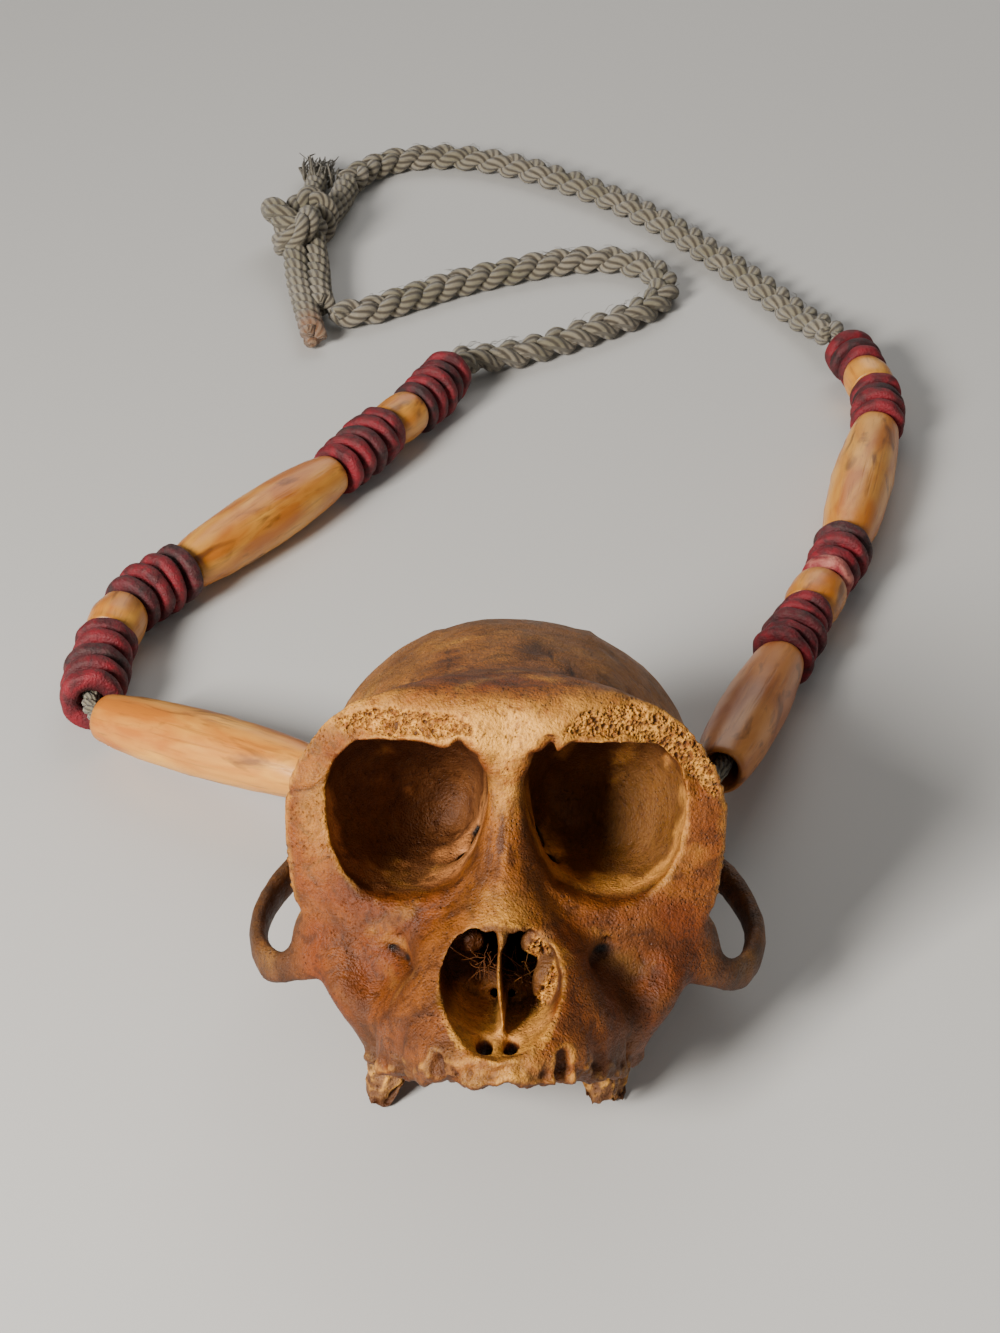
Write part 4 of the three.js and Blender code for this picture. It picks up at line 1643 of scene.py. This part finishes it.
@dataclass
class Bead:
    """A ring turned about a bore: bone bead or dyed disc."""

    kind: Strung
    side: str
    number: int
    bore_mm: float = 2.2
    stops: tuple[float, ...] = (0.985, 0.93, 0.8, 0.6, 0.35, 0.1)

    def node(self) -> str:
        """Returns the name of the solid that it stands for."""
        return f"{self.kind.value}_{self.side}_{self.number}"

    def slot(self) -> str:
        """Returns the name of the slot for its finish."""
        dye = "crimson_disc" if self.number % 3 else "dark_disc"
        return dye if self.kind is Strung.DISC else "bead_bone"

    def disc_profile(self, half: float, chance: random.Random) -> list[tuple[float, float]]:
        """Rounds a disc's edge unevenly.

        Args:
            half: Half its thickness.
            chance: The source of its random sizes.

        Returns:
            Radius and place along the axis, from end to end.
        """
        radius = RING_FORMS[self.kind].belly_mm + chance.uniform(-0.4, 0.5)
        left, right = chance.uniform(0.1, 0.45), chance.uniform(0.1, 0.45)
        return [
            (self.bore_mm, -half),
            (radius - 1, -half),
            (radius - left, -half * 0.8),
            (radius, -half * 0.35),
            (radius - 0.05, half * 0.4),
            (radius - right, half * 0.8),
            (radius - 1.1, half),
            (self.bore_mm, half),
        ]

    def bead_profile(self, half: float, chance: random.Random) -> list[tuple[float, float]]:
        """Swells a bead from its ends to its belly.

        Args:
            half: Half its length.
            chance: The source of its random sizes.

        Returns:
            Radius and place along the axis, from end to end.
        """
        form = RING_FORMS[self.kind]
        lip, mouth = form.end_mm - 0.4, self.bore_mm + 0.3

        def flank(way: int) -> list[tuple[float, float]]:
            """Swells from one end inwards.

            Args:
                way: -1 for the near end and 1 for the far one.

            Returns:
                Radius and place along the axis, from that end inwards.
            """
            swell = form.belly_mm - form.end_mm
            return [
                (form.end_mm + swell * (1 - s**2) ** 0.75 + chance.uniform(-0.1, 0.1), way * half * s)
                for s in self.stops
            ]

        left, right = flank(-1), flank(1)
        return [(mouth, -half), (lip, -half), *left, *right[::-1], (lip, half), (mouth, half)]

    def turned(self, outline: list[tuple[float, float]]) -> bpy.types.Object:
        """Extrudes a circle ring by ring along an outline, and closes it through the bore.

        Args:
            outline: Radius and place along the axis, from end to end.

        Returns:
            The ring.
        """
        deselect()
        sides = RING_FORMS[self.kind].sides
        bpy.ops.mesh.primitive_circle_add(vertices=sides, radius=outline[0][0] * MM)
        piece = bpy.context.object
        piece.name = f"{self.node()}_ring"
        piece.data.name = piece.name
        edit_all(piece)
        bpy.ops.transform.translate(value=(0, 0, outline[0][1] * MM))
        for before, after in zip(outline[:-1], outline[1:]):
            rise = (0, 0, (after[1] - before[1]) * MM)
            bpy.ops.mesh.extrude_region_move(TRANSFORM_OT_translate={"value": rise})
            share = after[0] / before[0]
            bpy.ops.transform.resize(value=(share, share, 1))
        bpy.ops.mesh.select_mode(type="EDGE")
        bpy.ops.mesh.select_all(action="DESELECT")
        bpy.ops.mesh.select_non_manifold()
        bpy.ops.mesh.bridge_edge_loops()
        face_outwards(piece)
        return piece

    def build(self, material: bpy.types.Material) -> bpy.types.Object:
        """Makes the bead on its string.

        Args:
            material: Its finish.

        Returns:
            The finished piece.
        """
        disc = self.kind is Strung.DISC
        seed = RING_FORMS[self.kind].seed
        chance = random.Random(seed * 101 + self.number * 7 + len(self.side))
        axis = Axis.of(self.node(), disc)
        half = axis.length / MM / 2
        outline = self.disc_profile(half, chance) if disc else self.bead_profile(half, chance)
        piece = self.turned(outline)
        apply_modifier(piece, "SUBSURF", levels=1, render_levels=1)
        self.wear(piece, half, chance)
        piece.matrix_world = axis.matrix(chance.uniform(0, FULL_TURN))
        take(piece)
        bpy.ops.object.transform_apply(location=True, rotation=True, scale=True)
        finish_piece(piece, material, self.slot(), self.node())
        return piece

    def wear(self, piece: bpy.types.Object, half: float, chance: random.Random) -> None:
        """Makes the ring uneven and stores its own axes for the finish.

        Args:
            piece: The ring, along Z.
            half: Half its length, in millimetres.
            chance: The source of its random sizes.
        """
        form = RING_FORMS[self.kind]
        points = points_of(piece.data) / MM
        radius = np.hypot(points[:, 0], points[:, 1])
        outer = ramp(radius, self.bore_mm + 0.6, self.bore_mm + 1.6)
        seed = chance.uniform(0, 50)
        turn = np.arctan2(points[:, 1], points[:, 0])
        oval = 1 + outer * form.oval * np.cos(2 * (turn - seed))
        oval += outer * form.rough * cloud(points, 3.2, seed)
        moved = points * np.stack([oval, oval, np.ones(len(points))], axis=1)
        shade = np.zeros(len(points))
        if self.kind is Strung.DISC:
            moved[:, 2] += chance.uniform(-0.05, 0.05) * moved[:, 0]
        else:
            # Painted shade on a bead's ends, darkest round the bore.
            ends = ramp(np.abs(points[:, 2]), half - 2.2, half - 0.2)
            shade = ends * (0.85 - 0.6 * ramp(radius, 3.2, 4.4))
        set_points(piece.data, moved * MM)
        set_values(piece.data, "dark", shade)
        set_values(piece.data, "light", ramp(radius, 5.2, 5.8))
        set_vectors(piece.data, "own", points * MM + seed * np.array([1, 0.37, 0.61]))


def travelled_along(line: np.ndarray) -> np.ndarray:
    """Returns how far along a line each of its points is."""
    return np.concatenate([[0], np.cumsum(np.linalg.norm(np.diff(line, axis=0), axis=1))])


def even_steps(line: np.ndarray, step: float) -> np.ndarray:
    """Places points at about even steps along a line.

    Args:
        line: The line's points.
        step: The distance between the new ones.

    Returns:
        The new points.
    """
    travelled = travelled_along(line)
    count = max(2, int(round(travelled[-1] / step)) + 1)
    stops = np.linspace(0, travelled[-1], count)
    return np.stack([np.interp(stops, travelled, line[:, k]) for k in range(3)], axis=1)


@dataclass(frozen=True)
class Route:
    """A cord's middle line: the same points that its solid follows, in millimetres."""

    corners: list[Place]
    steps: int = 24

    def line(self, step_mm: float) -> np.ndarray:
        """Draws the smooth line through the corners.

        Args:
            step_mm: The distance between its points.

        Returns:
            Its points, in metres.
        """
        corners = SEAT.from_eyes(self.corners)
        padded = np.vstack([2 * corners[0] - corners[1], corners, 2 * corners[-1] - corners[-2]])
        fine = [self.stretch(padded[i - 1 : i + 3]) for i in range(1, len(padded) - 2)]
        return even_steps(np.vstack([*fine, corners[-1]]), step_mm) * MM

    def stretch(self, places: np.ndarray) -> np.ndarray:
        """Draws the smooth line between the middle two of four places.

        Args:
            places: The four places.

        Returns:
            Points from the second place to just before the third.
        """
        gaps = np.linalg.norm(np.diff(places, axis=0), axis=1) ** 0.5
        knots = np.concatenate([[0], np.cumsum(gaps)])
        times = np.linspace(knots[1], knots[2], self.steps, endpoint=False)[:, None]
        rows = list(places)
        for spans in (((0, 1), (1, 2), (2, 3)), ((0, 2), (1, 3)), ((1, 2),)):
            shares = [(times - knots[a]) / (knots[b] - knots[a]) for a, b in spans]
            rows = [(1 - share) * rows[k] + share * rows[k + 1] for k, share in enumerate(shares)]
        return rows[0]


def frames_along(line: np.ndarray) -> tuple[np.ndarray, np.ndarray]:
    """Works out which way is sideways and which is up at each point of a line.

    Args:
        line: The line's points.

    Returns:
        The sideways and the upward directions.
    """
    tiny, upright = 1e-12, 0.15
    ahead = np.gradient(line, axis=0)
    ahead /= np.linalg.norm(ahead, axis=1)[:, None] + tiny
    sideways = np.cross(ahead, np.array([0, 0, 1.0]))
    for i in range(len(sideways)):
        if np.linalg.norm(sideways[i]) < upright:
            sideways[i] = sideways[i - 1] if i else (1, 0, 0)
    sideways /= np.linalg.norm(sideways, axis=1)[:, None]
    return sideways, np.cross(sideways, ahead)


@dataclass
class Bundle:
    """Tubes that share one mesh: strands, yarns, fibres."""

    verts: list[np.ndarray] = field(default_factory=list)
    faces: list[tuple[int, ...]] = field(default_factory=list)
    lays: list[np.ndarray] = field(default_factory=list)
    count: int = 0

    def tube(
        self, line: np.ndarray, radius: float | np.ndarray, sides: int, shade: float = 0
    ) -> None:
        """Adds a closed tube.

        Args:
            line: Its middle line, in metres.
            radius: Its radius, for all or for each point.
            sides: Its number of sides.
            shade: A number kept in the third place of its lay, which the finish doesn't read.
        """
        radii = np.broadcast_to(np.asarray(radius, dtype=float), (len(line),))
        sideways, upward = frames_along(line)
        turns = np.linspace(0, FULL_TURN, sides, endpoint=False)
        across, up = np.cos(turns)[None, :, None], np.sin(turns)[None, :, None]
        ring = across * sideways[:, None] + up * upward[:, None]
        rings = line[:, None] + ring * radii[:, None, None]
        lay = np.empty((len(line), sides, 3))
        lay[:, :, 0] = turns[None, :] / FULL_TURN
        lay[:, :, 1] = travelled_along(line)[:, None] / MM
        lay[:, :, 2] = shade
        start = self.count
        self.verts.append(rings.reshape(-1, 3))
        self.lays.append(lay.reshape(-1, 3))
        for i in range(len(line) - 1):
            for k in range(sides):
                a, b = start + i * sides + k, start + i * sides + (k + 1) % sides
                self.faces.append((a, b, b + sides, a + sides))
        last = start + (len(line) - 1) * sides
        self.faces.append(tuple(start + k for k in reversed(range(sides))))
        self.faces.append(tuple(last + k for k in range(sides)))
        self.count += len(line) * sides

    def piece(self, name: str) -> bpy.types.Object:
        """Joins the tubes in one new object with faces that point outwards.

        Args:
            name: The object's name.

        Returns:
            The object.
        """
        mesh = bpy.data.meshes.new(name)
        mesh.from_pydata(np.vstack(self.verts).tolist(), [], self.faces)
        mesh.validate()
        set_vectors(mesh, "lay", np.vstack(self.lays))
        piece = bpy.data.objects.new(name, mesh)
        bpy.context.collection.objects.link(piece)
        face_outwards(piece)
        return piece


class Lay(Enum):
    """How three strands go round each other: twisted, or plaited so that they lie flat."""

    TWIST = "twist"
    PLAIT = "plait"


def strands_round(
    line: np.ndarray, lay: Lay, pitch_mm: float, across_mm: float, up_mm: float
) -> list[np.ndarray]:
    """Winds three strands round a line.

    Args:
        line: The line, in metres.
        lay: How they go round each other.
        pitch_mm: How far along a strand takes to come round.
        across_mm: How far it swings sideways.
        up_mm: How far it swings up and down.

    Returns:
        The strands' middle lines.
    """
    sideways, upward = frames_along(line)
    lines = []
    for k in range(3):
        turn = FULL_TURN * (travelled_along(line) / (pitch_mm * MM) + k / 3)
        flat = lay is Lay.PLAIT
        across, up = (np.sin(turn), np.sin(2 * turn)) if flat else (np.cos(turn), np.sin(turn))
        away = across_mm * across[:, None] * sideways + up_mm * up[:, None] * upward
        lines.append(line + away * MM)
    return lines


@dataclass
class StringCord:
    """A twisted string through the beads."""

    name: str
    route: Route
    swing_mm: float = 0.9
    pitch_mm: float = 6.5
    strand_mm: float = 0.76

    def build(self) -> tuple[bpy.types.Object, np.ndarray]:
        """Makes the string.

        Returns:
            The string and its middle line.
        """
        line = self.route.line(0.8)
        bundle = Bundle()
        strands = strands_round(line, Lay.TWIST, self.pitch_mm, self.swing_mm, self.swing_mm)
        for k, strand in enumerate(strands):
            bundle.tube(strand, self.strand_mm * MM, 8, k)
        return bundle.piece(f"{self.name}_twist"), line


@dataclass
class RopeCord:
    """A plaited rope that lies on the table."""

    name: str
    route: Route
    across_mm: float = 1.95
    up_mm: float = 1.15
    pitch_mm: float = 19
    strand_mm: float = 1.72
    sag_mm: float = 0.35
    rim_mm: float = 2.7
    hair_mm: float = 0.045
    fuzz: int = 260

    def build(self) -> tuple[bpy.types.Object, np.ndarray]:
        """Makes the rope with its fuzz.

        Returns:
            The rope and its middle line.
        """
        line = self.route.line(0.7)
        bundle = Bundle()
        lowered = line - np.array([0, 0, self.sag_mm * MM])
        strands = strands_round(lowered, Lay.PLAIT, self.pitch_mm, self.across_mm, self.up_mm)
        for k, strand in enumerate(strands):
            bundle.tube(strand, self.strand_mm * MM, 12, k)
        chance = random.Random(len(self.name))
        for _ in range(self.fuzz):
            i = chance.randrange(4, len(line) - 6)
            away = np.array([chance.gauss(0, 1), chance.gauss(0, 1), abs(chance.gauss(0, 0.8))])
            away /= np.linalg.norm(away)
            ahead = (line[i + 3] - line[i]) * chance.uniform(0.6, 1.6)
            root = line[i] + away * self.rim_mm * MM
            tip = root + ahead + away * chance.uniform(0.4, 1.3) * MM
            middle = (root + tip) / 2 + away * 0.5 * MM
            bundle.tube(np.array([root, middle, tip]), self.hair_mm * MM, 3, 1)
        return bundle.piece(f"{self.name}_plait"), line


@dataclass(frozen=True)
class Tail:
    """A cord's end that leaves the knot: its corners and how thick it is twisted."""

    corners: list[Place]
    swing_mm: float


@dataclass
class Knot:
    """The rope's knot with its wrapped tail and its frayed tail."""

    centre_mm: Place = (-57.2, 291.5, 9.2)
    size_mm: Place = (2.3, 3.7, 1.75)
    loop_swing_mm: float = 1.55
    tuft_mm: Place = (-55.8, 326, 4)
    stained_tip_mm: Place = (-50, 243, 3.5)
    fibres: int = 150
    tails: tuple[Tail, ...] = (
        Tail([(-54, 290, 7), (-51.4, 274, 4.4), (-50.2, 262, 4), (-48.6, 255.4, 3.8)], 1.6),
        Tail([(-54, 290, 7), (-50.6, 306, 5), (-48.8, 315, 4.6), (-47.8, 324.6, 4.4)], 1.6),
        Tail([(-58, 294, 9), (-57.4, 308, 6.2), (-56.2, 320, 4.2), (-55.8, 328, 3.8)], 1.4),
        Tail([(-58, 286, 8), (-55.4, 268, 4.6), (-51.9, 252, 3.7), (-49.4, 240.6, 3.5)], 1.5),
    )

    def loops(self, bundle: Bundle) -> None:
        """Winds the knot's three loops.

        Args:
            bundle: The mesh that they go into.
        """
        t = np.linspace(0, FULL_TURN, 150)
        trefoil = np.stack(
            [np.sin(t) + 2 * np.sin(2 * t), np.cos(t) - 2 * np.cos(2 * t), -1.5 * np.sin(3 * t)],
            axis=1,
        )
        loop = SEAT.from_eyes(trefoil * np.array(self.size_mm) + np.array(self.centre_mm)) * MM
        swing = self.loop_swing_mm
        for k, strand in enumerate(strands_round(loop, Lay.TWIST, 13, swing, swing)):
            bundle.tube(strand, (swing + 0.1) * MM, 10, k)

    def hang_tails(self, bundle: Bundle) -> None:
        """Lays the cord's ends beside the knot.

        Args:
            bundle: The mesh that they go into.
        """
        for tail in self.tails:
            line = even_steps(SEAT.from_eyes(tail.corners) * MM, 0.8 * MM)
            for _ in range(12):
                line[1:-1] = (line[:-2] + line[2:]) / 2
            strands = strands_round(line, Lay.TWIST, 12, tail.swing_mm, tail.swing_mm)
            for k, strand in enumerate(strands):
                bundle.tube(strand, (tail.swing_mm + 0.08) * MM, 10, k)

    def fray(self, bundle: Bundle) -> None:
        """Spreads the fibres of the frayed tail.

        Args:
            bundle: The mesh that they go into.
        """
        chance = random.Random(5)
        gauss, uniform = chance.gauss, chance.uniform
        root = SEAT.from_eyes([self.tuft_mm])[0] * MM
        radii = np.array([0.3, 0.26, 0.12]) * MM
        for _ in range(self.fibres):
            spread = np.array([gauss(0, 1.4), uniform(-1, 1), gauss(0, 0.9)]) * MM
            reach = np.array([gauss(-0.2, 1.9), uniform(8, 17), gauss(-0.4, 0.9)]) * MM
            start = root + spread
            end = start + reach
            end[2] = max(end[2], 0.5 * MM)
            bow = np.array([gauss(0, 1), 0, abs(gauss(0, 1))]) * MM
            bundle.tube(np.array([start, (start + end) / 2 + bow, end]), radii, 4, 2)

    def build(self) -> bpy.types.Object:
        """Makes the knot.

        Returns:
            The knot.
        """
        bundle = Bundle()
        self.loops(bundle)
        self.hang_tails(bundle)
        self.fray(bundle)
        piece = bundle.piece("knot_loops")
        tip = SEAT.from_eyes([self.stained_tip_mm])[0]
        set_values(piece.data, "stain", near(points_of(piece.data) / MM, tuple(tip), 5.5))
        return piece


LEFT_STRING = Route(
    [
        (-0.3, 52.2, 12.2), (-14, 52.2, 12.2), (-24, 52.4, 12.2), (-32.5, 55.8, 12),
        (-43, 62, 10.7), (-64, 74.6, 8), (-74, 80.6, 6.7), (-75.7, 82, 6.5),
        (-76.8, 84, 6.4), (-77.2, 86.4, 6.4), (-77.3, 91, 6.4), (-77.2, 98, 6.4),
        (-76.8, 108, 6.4), (-75.2, 117, 6.4), (-71.8, 124, 6.4), (-66.5, 131.2, 6.4),
        (-60, 141, 6.4), (-47, 160.6, 6.4), (-40.5, 170.5, 6.4), (-35, 181, 6.4),
        (-30, 191.4, 6.4), (-24.6, 200.4, 6.4), (-19.8, 211, 6.4), (-17.2, 221, 6.4),
    ]
)
RIGHT_STRING = Route(
    [
        (0.3, 52.2, 12.2), (14, 52.2, 12.2), (24.5, 52.4, 12.2), (30.5, 53.4, 12.2),
        (34.4, 57.8, 12), (37.6, 68, 10.8), (44.6, 90.5, 8), (48.2, 102.2, 6.6),
        (51, 110, 6.4), (54.4, 119.8, 6.4), (58.4, 130, 6.4), (61.6, 139, 6.4),
        (64.2, 148.4, 6.4), (67.2, 162, 6.4), (72, 184, 6.4), (74.6, 198, 6.4),
        (75.2, 208, 6.4), (73.8, 219, 6.4), (71, 230, 6.4), (68.6, 238, 6.4),
    ]
)
LEFT_ROPE = Route(
    [
        (-17, 221.6, 6.3), (-15, 226.2, 5.6), (-10.6, 230, 4.2), (-3.4, 234, 3.5),
        (6.5, 240.8, 3.4), (16.5, 248.8, 3.4), (25.6, 257.4, 3.4), (30.8, 268, 3.4),
        (27.6, 279.4, 3.4), (17.4, 284.8, 3.4), (5, 282.6, 3.4), (-7.1, 277, 3.4),
        (-19.4, 269.8, 3.4), (-30, 261.5, 3.4), (-39.4, 254.4, 3.5), (-46, 252.2, 4),
    ]
)
RIGHT_ROPE = Route(
    [
        (68.4, 238.6, 6.3), (66.6, 244, 5.4), (63.6, 250.6, 4), (59.7, 258.4, 3.4),
        (53.4, 270.6, 3.4), (44.6, 285.4, 3.4), (35.4, 300.3, 3.4), (25.8, 313.2, 3.4),
        (15.9, 324.1, 3.4), (5.8, 332.7, 3.4), (-4.6, 340.2, 3.4), (-15, 345.1, 3.4),
        (-25.4, 346.8, 3.4), (-35.7, 344.6, 3.4), (-43.4, 337.6, 3.6), (-47.4, 327.6, 4.4),
    ]
)


@dataclass
class Necklace:
    """Strings, ropes, knot, beads and discs."""

    patterns: Patterns
    discs: dict[str, int] = field(default_factory=lambda: {"left": 19, "right": 16})
    darker_bead: tuple[str, int] = ("right", 1)
    faded_disc: tuple[str, int] = ("right", 6)
    exits_mm: dict[str, Place] = field(
        default_factory=lambda: {"left": (-27, 39, 12.2), "right": (27, 38.7, 12.2)}
    )

    def cords(self) -> dict[str, tuple[bpy.types.Object, np.ndarray]]:
        """Makes the strings, ropes and knot.

        Returns:
            Each cord's piece and middle line, by name.
        """
        fibre = CordFinish().material(self.patterns, "grey_fibre")
        made = {}
        for cord in (
            StringCord("string_left", LEFT_STRING),
            StringCord("string_right", RIGHT_STRING),
            RopeCord("rope_left", LEFT_ROPE),
            RopeCord("rope_right", RIGHT_ROPE),
        ):
            piece, line = cord.build()
            finish_piece(piece, fibre, "grey_cord", cord.name)
            made[cord.name] = (piece, line)
        knot = Knot().build()
        finish_piece(knot, fibre, "grey_cord", "knot")
        made["knot"] = (knot, np.empty((0, 3)))
        return made

    def strung(self, side: str) -> list[bpy.types.Object]:
        """Makes one side's beads and discs.

        Args:
            side: left or right.

        Returns:
            The pieces.
        """
        pale = BeadFinish()
        darker = BeadFinish(cream=(0.66, 0.26, 0.055), orange=(0.42, 0.11, 0.009))
        crimson = DiscFinish((0.21, 0.005, 0.013), (0.065, 0.004, 0.007), (0.11, 0.028, 0.026))
        grey = DiscFinish((0.105, 0.006, 0.011), (0.028, 0.007, 0.008), (0.09, 0.040, 0.035))
        pink = DiscFinish((0.50, 0.17, 0.13), (0.22, 0.010, 0.018), (0.55, 0.26, 0.20))
        bone, dark_bone, faded, red, dull = (
            finish.material(self.patterns, f"{name}_{side}")
            for name, finish in (
                ("bead_bone", pale),
                ("bead_bone_dark", darker),
                ("faded_dye", pink),
                ("crimson_dye", crimson),
                ("dark_dye", grey),
            )
        )
        pieces = []
        for number in (1, 2):
            finish = dark_bone if (side, number) == self.darker_bead else bone
            pieces.append(Bead(Strung.LONG, side, number).build(finish))
            pieces.append(Bead(Strung.SHORT, side, number).build(bone))
        for number in range(1, self.discs[side] + 1):
            finish = red if number % 3 else dull
            finish = faded if (side, number) == self.faded_disc else finish
            pieces.append(Bead(Strung.DISC, side, number).build(finish))
        return pieces

    def build(self) -> None:
        """Makes the necklace: its cords, beads and discs."""
        made = self.cords()
        for side, exit_mm in self.exits_mm.items():
            pieces = self.strung(side)
            tuple(value * MM for value in exit_mm)


# Inside the nose


@dataclass(frozen=True)
class Wisp:
    """A tangle of fibres: where it is rooted, how far its roots spread and how many it has."""

    middle: Place
    spread: Place
    count: int


@dataclass
class NoseWisps:
    """Dry fibres that hang between the scrolls and the septum inside the nose."""

    seed: int = 8
    bends: int = 5
    step_mm: float = 0.28
    wisps: tuple[Wisp, ...] = (
        Wisp((2.9, -12.2, -7.6), (1.3, 1.6, 1.4), 44),
        Wisp((-2.4, -11.6, -6.2), (1.2, 1.6, 1), 30),
        Wisp((5, -13, -10.6), (1.2, 1.2, 1), 14),
    )

    def walk(self, wisp: Wisp, chance: random.Random) -> np.ndarray:
        """Lets a fibre wander from its root.

        Args:
            wisp: The tangle that it belongs to.
            chance: The source of its random turns.

        Returns:
            Its places, in the skull's axes.
        """
        place = [m + chance.gauss(0, 0.6) * s for m, s in zip(wisp.middle, wisp.spread)]
        places = [place]
        heading = [chance.gauss(0, 1) for _ in range(3)]
        for _ in range(self.bends):
            heading = [h + chance.gauss(0, 0.7) for h in heading]
            place = [p + self.step_mm * h for p, h in zip(place, heading)]
            places.append(place)
        return np.array(places)

    def build(self, material: bpy.types.Material) -> None:
        """Makes the fibres.

        Args:
            material: The bone's finish.
        """
        chance = random.Random(self.seed)
        bundle = Bundle()
        for wisp in self.wisps:
            for _ in range(wisp.count):
                line = SEAT.to_part(self.walk(wisp, chance))
                bundle.tube(line, chance.uniform(0.025, 0.05) * MM, 4)
        piece = bundle.piece("nose_wisps")
        set_values(piece.data, "dark", np.full(len(piece.data.vertices), 0.45))
        finish_piece(piece, material, "aged_bone")


# The scene


@dataclass(frozen=True)
class Lamp:
    """A soft light: its place and size in metres, its power in watts and its tint."""

    name: str
    place: Place
    size: float
    power: float
    tint: Colour


@dataclass(frozen=True)
class Studio:
    """Camera, floor and lights."""

    eye_mm: Place = (7.92, -347.39, 287.5)
    turn: float = math.radians(1.5)
    pitch: float = math.radians(33)
    lens: float = 75.6
    sensor: float = 36
    lit_place: Place = (0, 0, 0.03)
    lamps: tuple[Lamp, ...] = (
        Lamp("key", (-0.46, -0.56, 0.44), 0.25, 16.0, (1.0, 0.96, 0.9)),
        Lamp("fill", (0.5, -0.8, 0.5), 0.8, 0.6, (1.0, 0.99, 0.98)),
        Lamp("back", (0.1, 0.9, 0.7), 0.7, 3.0, (1.0, 0.98, 0.95)),
    )

    def camera(self) -> None:
        """Sets the camera where the photograph was taken from."""
        data = bpy.data.cameras.new("camera")
        data.lens = self.lens
        data.sensor_width = self.sensor
        camera = bpy.data.objects.new("camera", data)
        camera.location = Vector(self.eye_mm) * MM
        camera.rotation_euler = (math.pi / 2 - self.pitch, 0, self.turn)
        bpy.context.collection.objects.link(camera)
        bpy.context.scene.camera = camera

    def floor(self) -> None:
        """Lays a plain pale floor."""
        deselect()
        bpy.ops.mesh.primitive_plane_add(size=6, location=(0, 0, -0.0001))
        floor = bpy.context.object
        floor.name = "floor"
        material, shader, surface = new_material("pale_floor")
        shader.feed(surface, {"Base Color": (0.62, 0.61, 0.59, 1), "Roughness": 0.85})
        floor.data.materials.append(material)

    def hang(self, lamp: Lamp) -> None:
        """Hangs a soft light that looks at the skull.

        Args:
            lamp: The light.
        """
        data = bpy.data.lights.new(lamp.name, "AREA")
        data.size = lamp.size
        data.energy = lamp.power
        data.color = lamp.tint
        light = bpy.data.objects.new(lamp.name, data)
        light.location = lamp.place
        aim = Vector(self.lit_place) - Vector(lamp.place)
        light.rotation_euler = aim.to_track_quat("-Z", "Y").to_euler()
        bpy.context.collection.objects.link(light)

    def build(self) -> None:
        """Sets up floor, lights and the pale surroundings."""
        self.floor()
        for lamp in self.lamps:
            self.hang(lamp)
        world = bpy.data.worlds.new("studio")
        world.use_nodes = True
        backdrop = world.node_tree.nodes["Background"]
        backdrop.inputs["Color"].default_value = (0.95, 0.94, 0.92, 1)
        backdrop.inputs["Strength"].default_value = 0.18
        bpy.context.scene.world = world


def main() -> None:
    """Builds the scene, piece by piece."""
    logging.basicConfig(level=logging.INFO, format="%(name)s: %(message)s")
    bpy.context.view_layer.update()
    studio = Studio()
    studio.camera()
    patterns = Patterns(mottle_group(), pits_group())
    Necklace(patterns).build()
    bone = BoneFinish().material(patterns)
    skull = Skull().build()
    finish_piece(skull, bone, "aged_bone", "skull")
    tooth = BoneFinish(
        ochre=(0.26, 0.12, 0.045), orange=(0.15, 0.055, 0.018), grey=(0.10, 0.055, 0.03)
    )
    Teeth().build(tooth.material(patterns, "tooth_root"))
    NoseWisps().build(bone)
    studio.build()


if __name__ == "__main__":
    main()
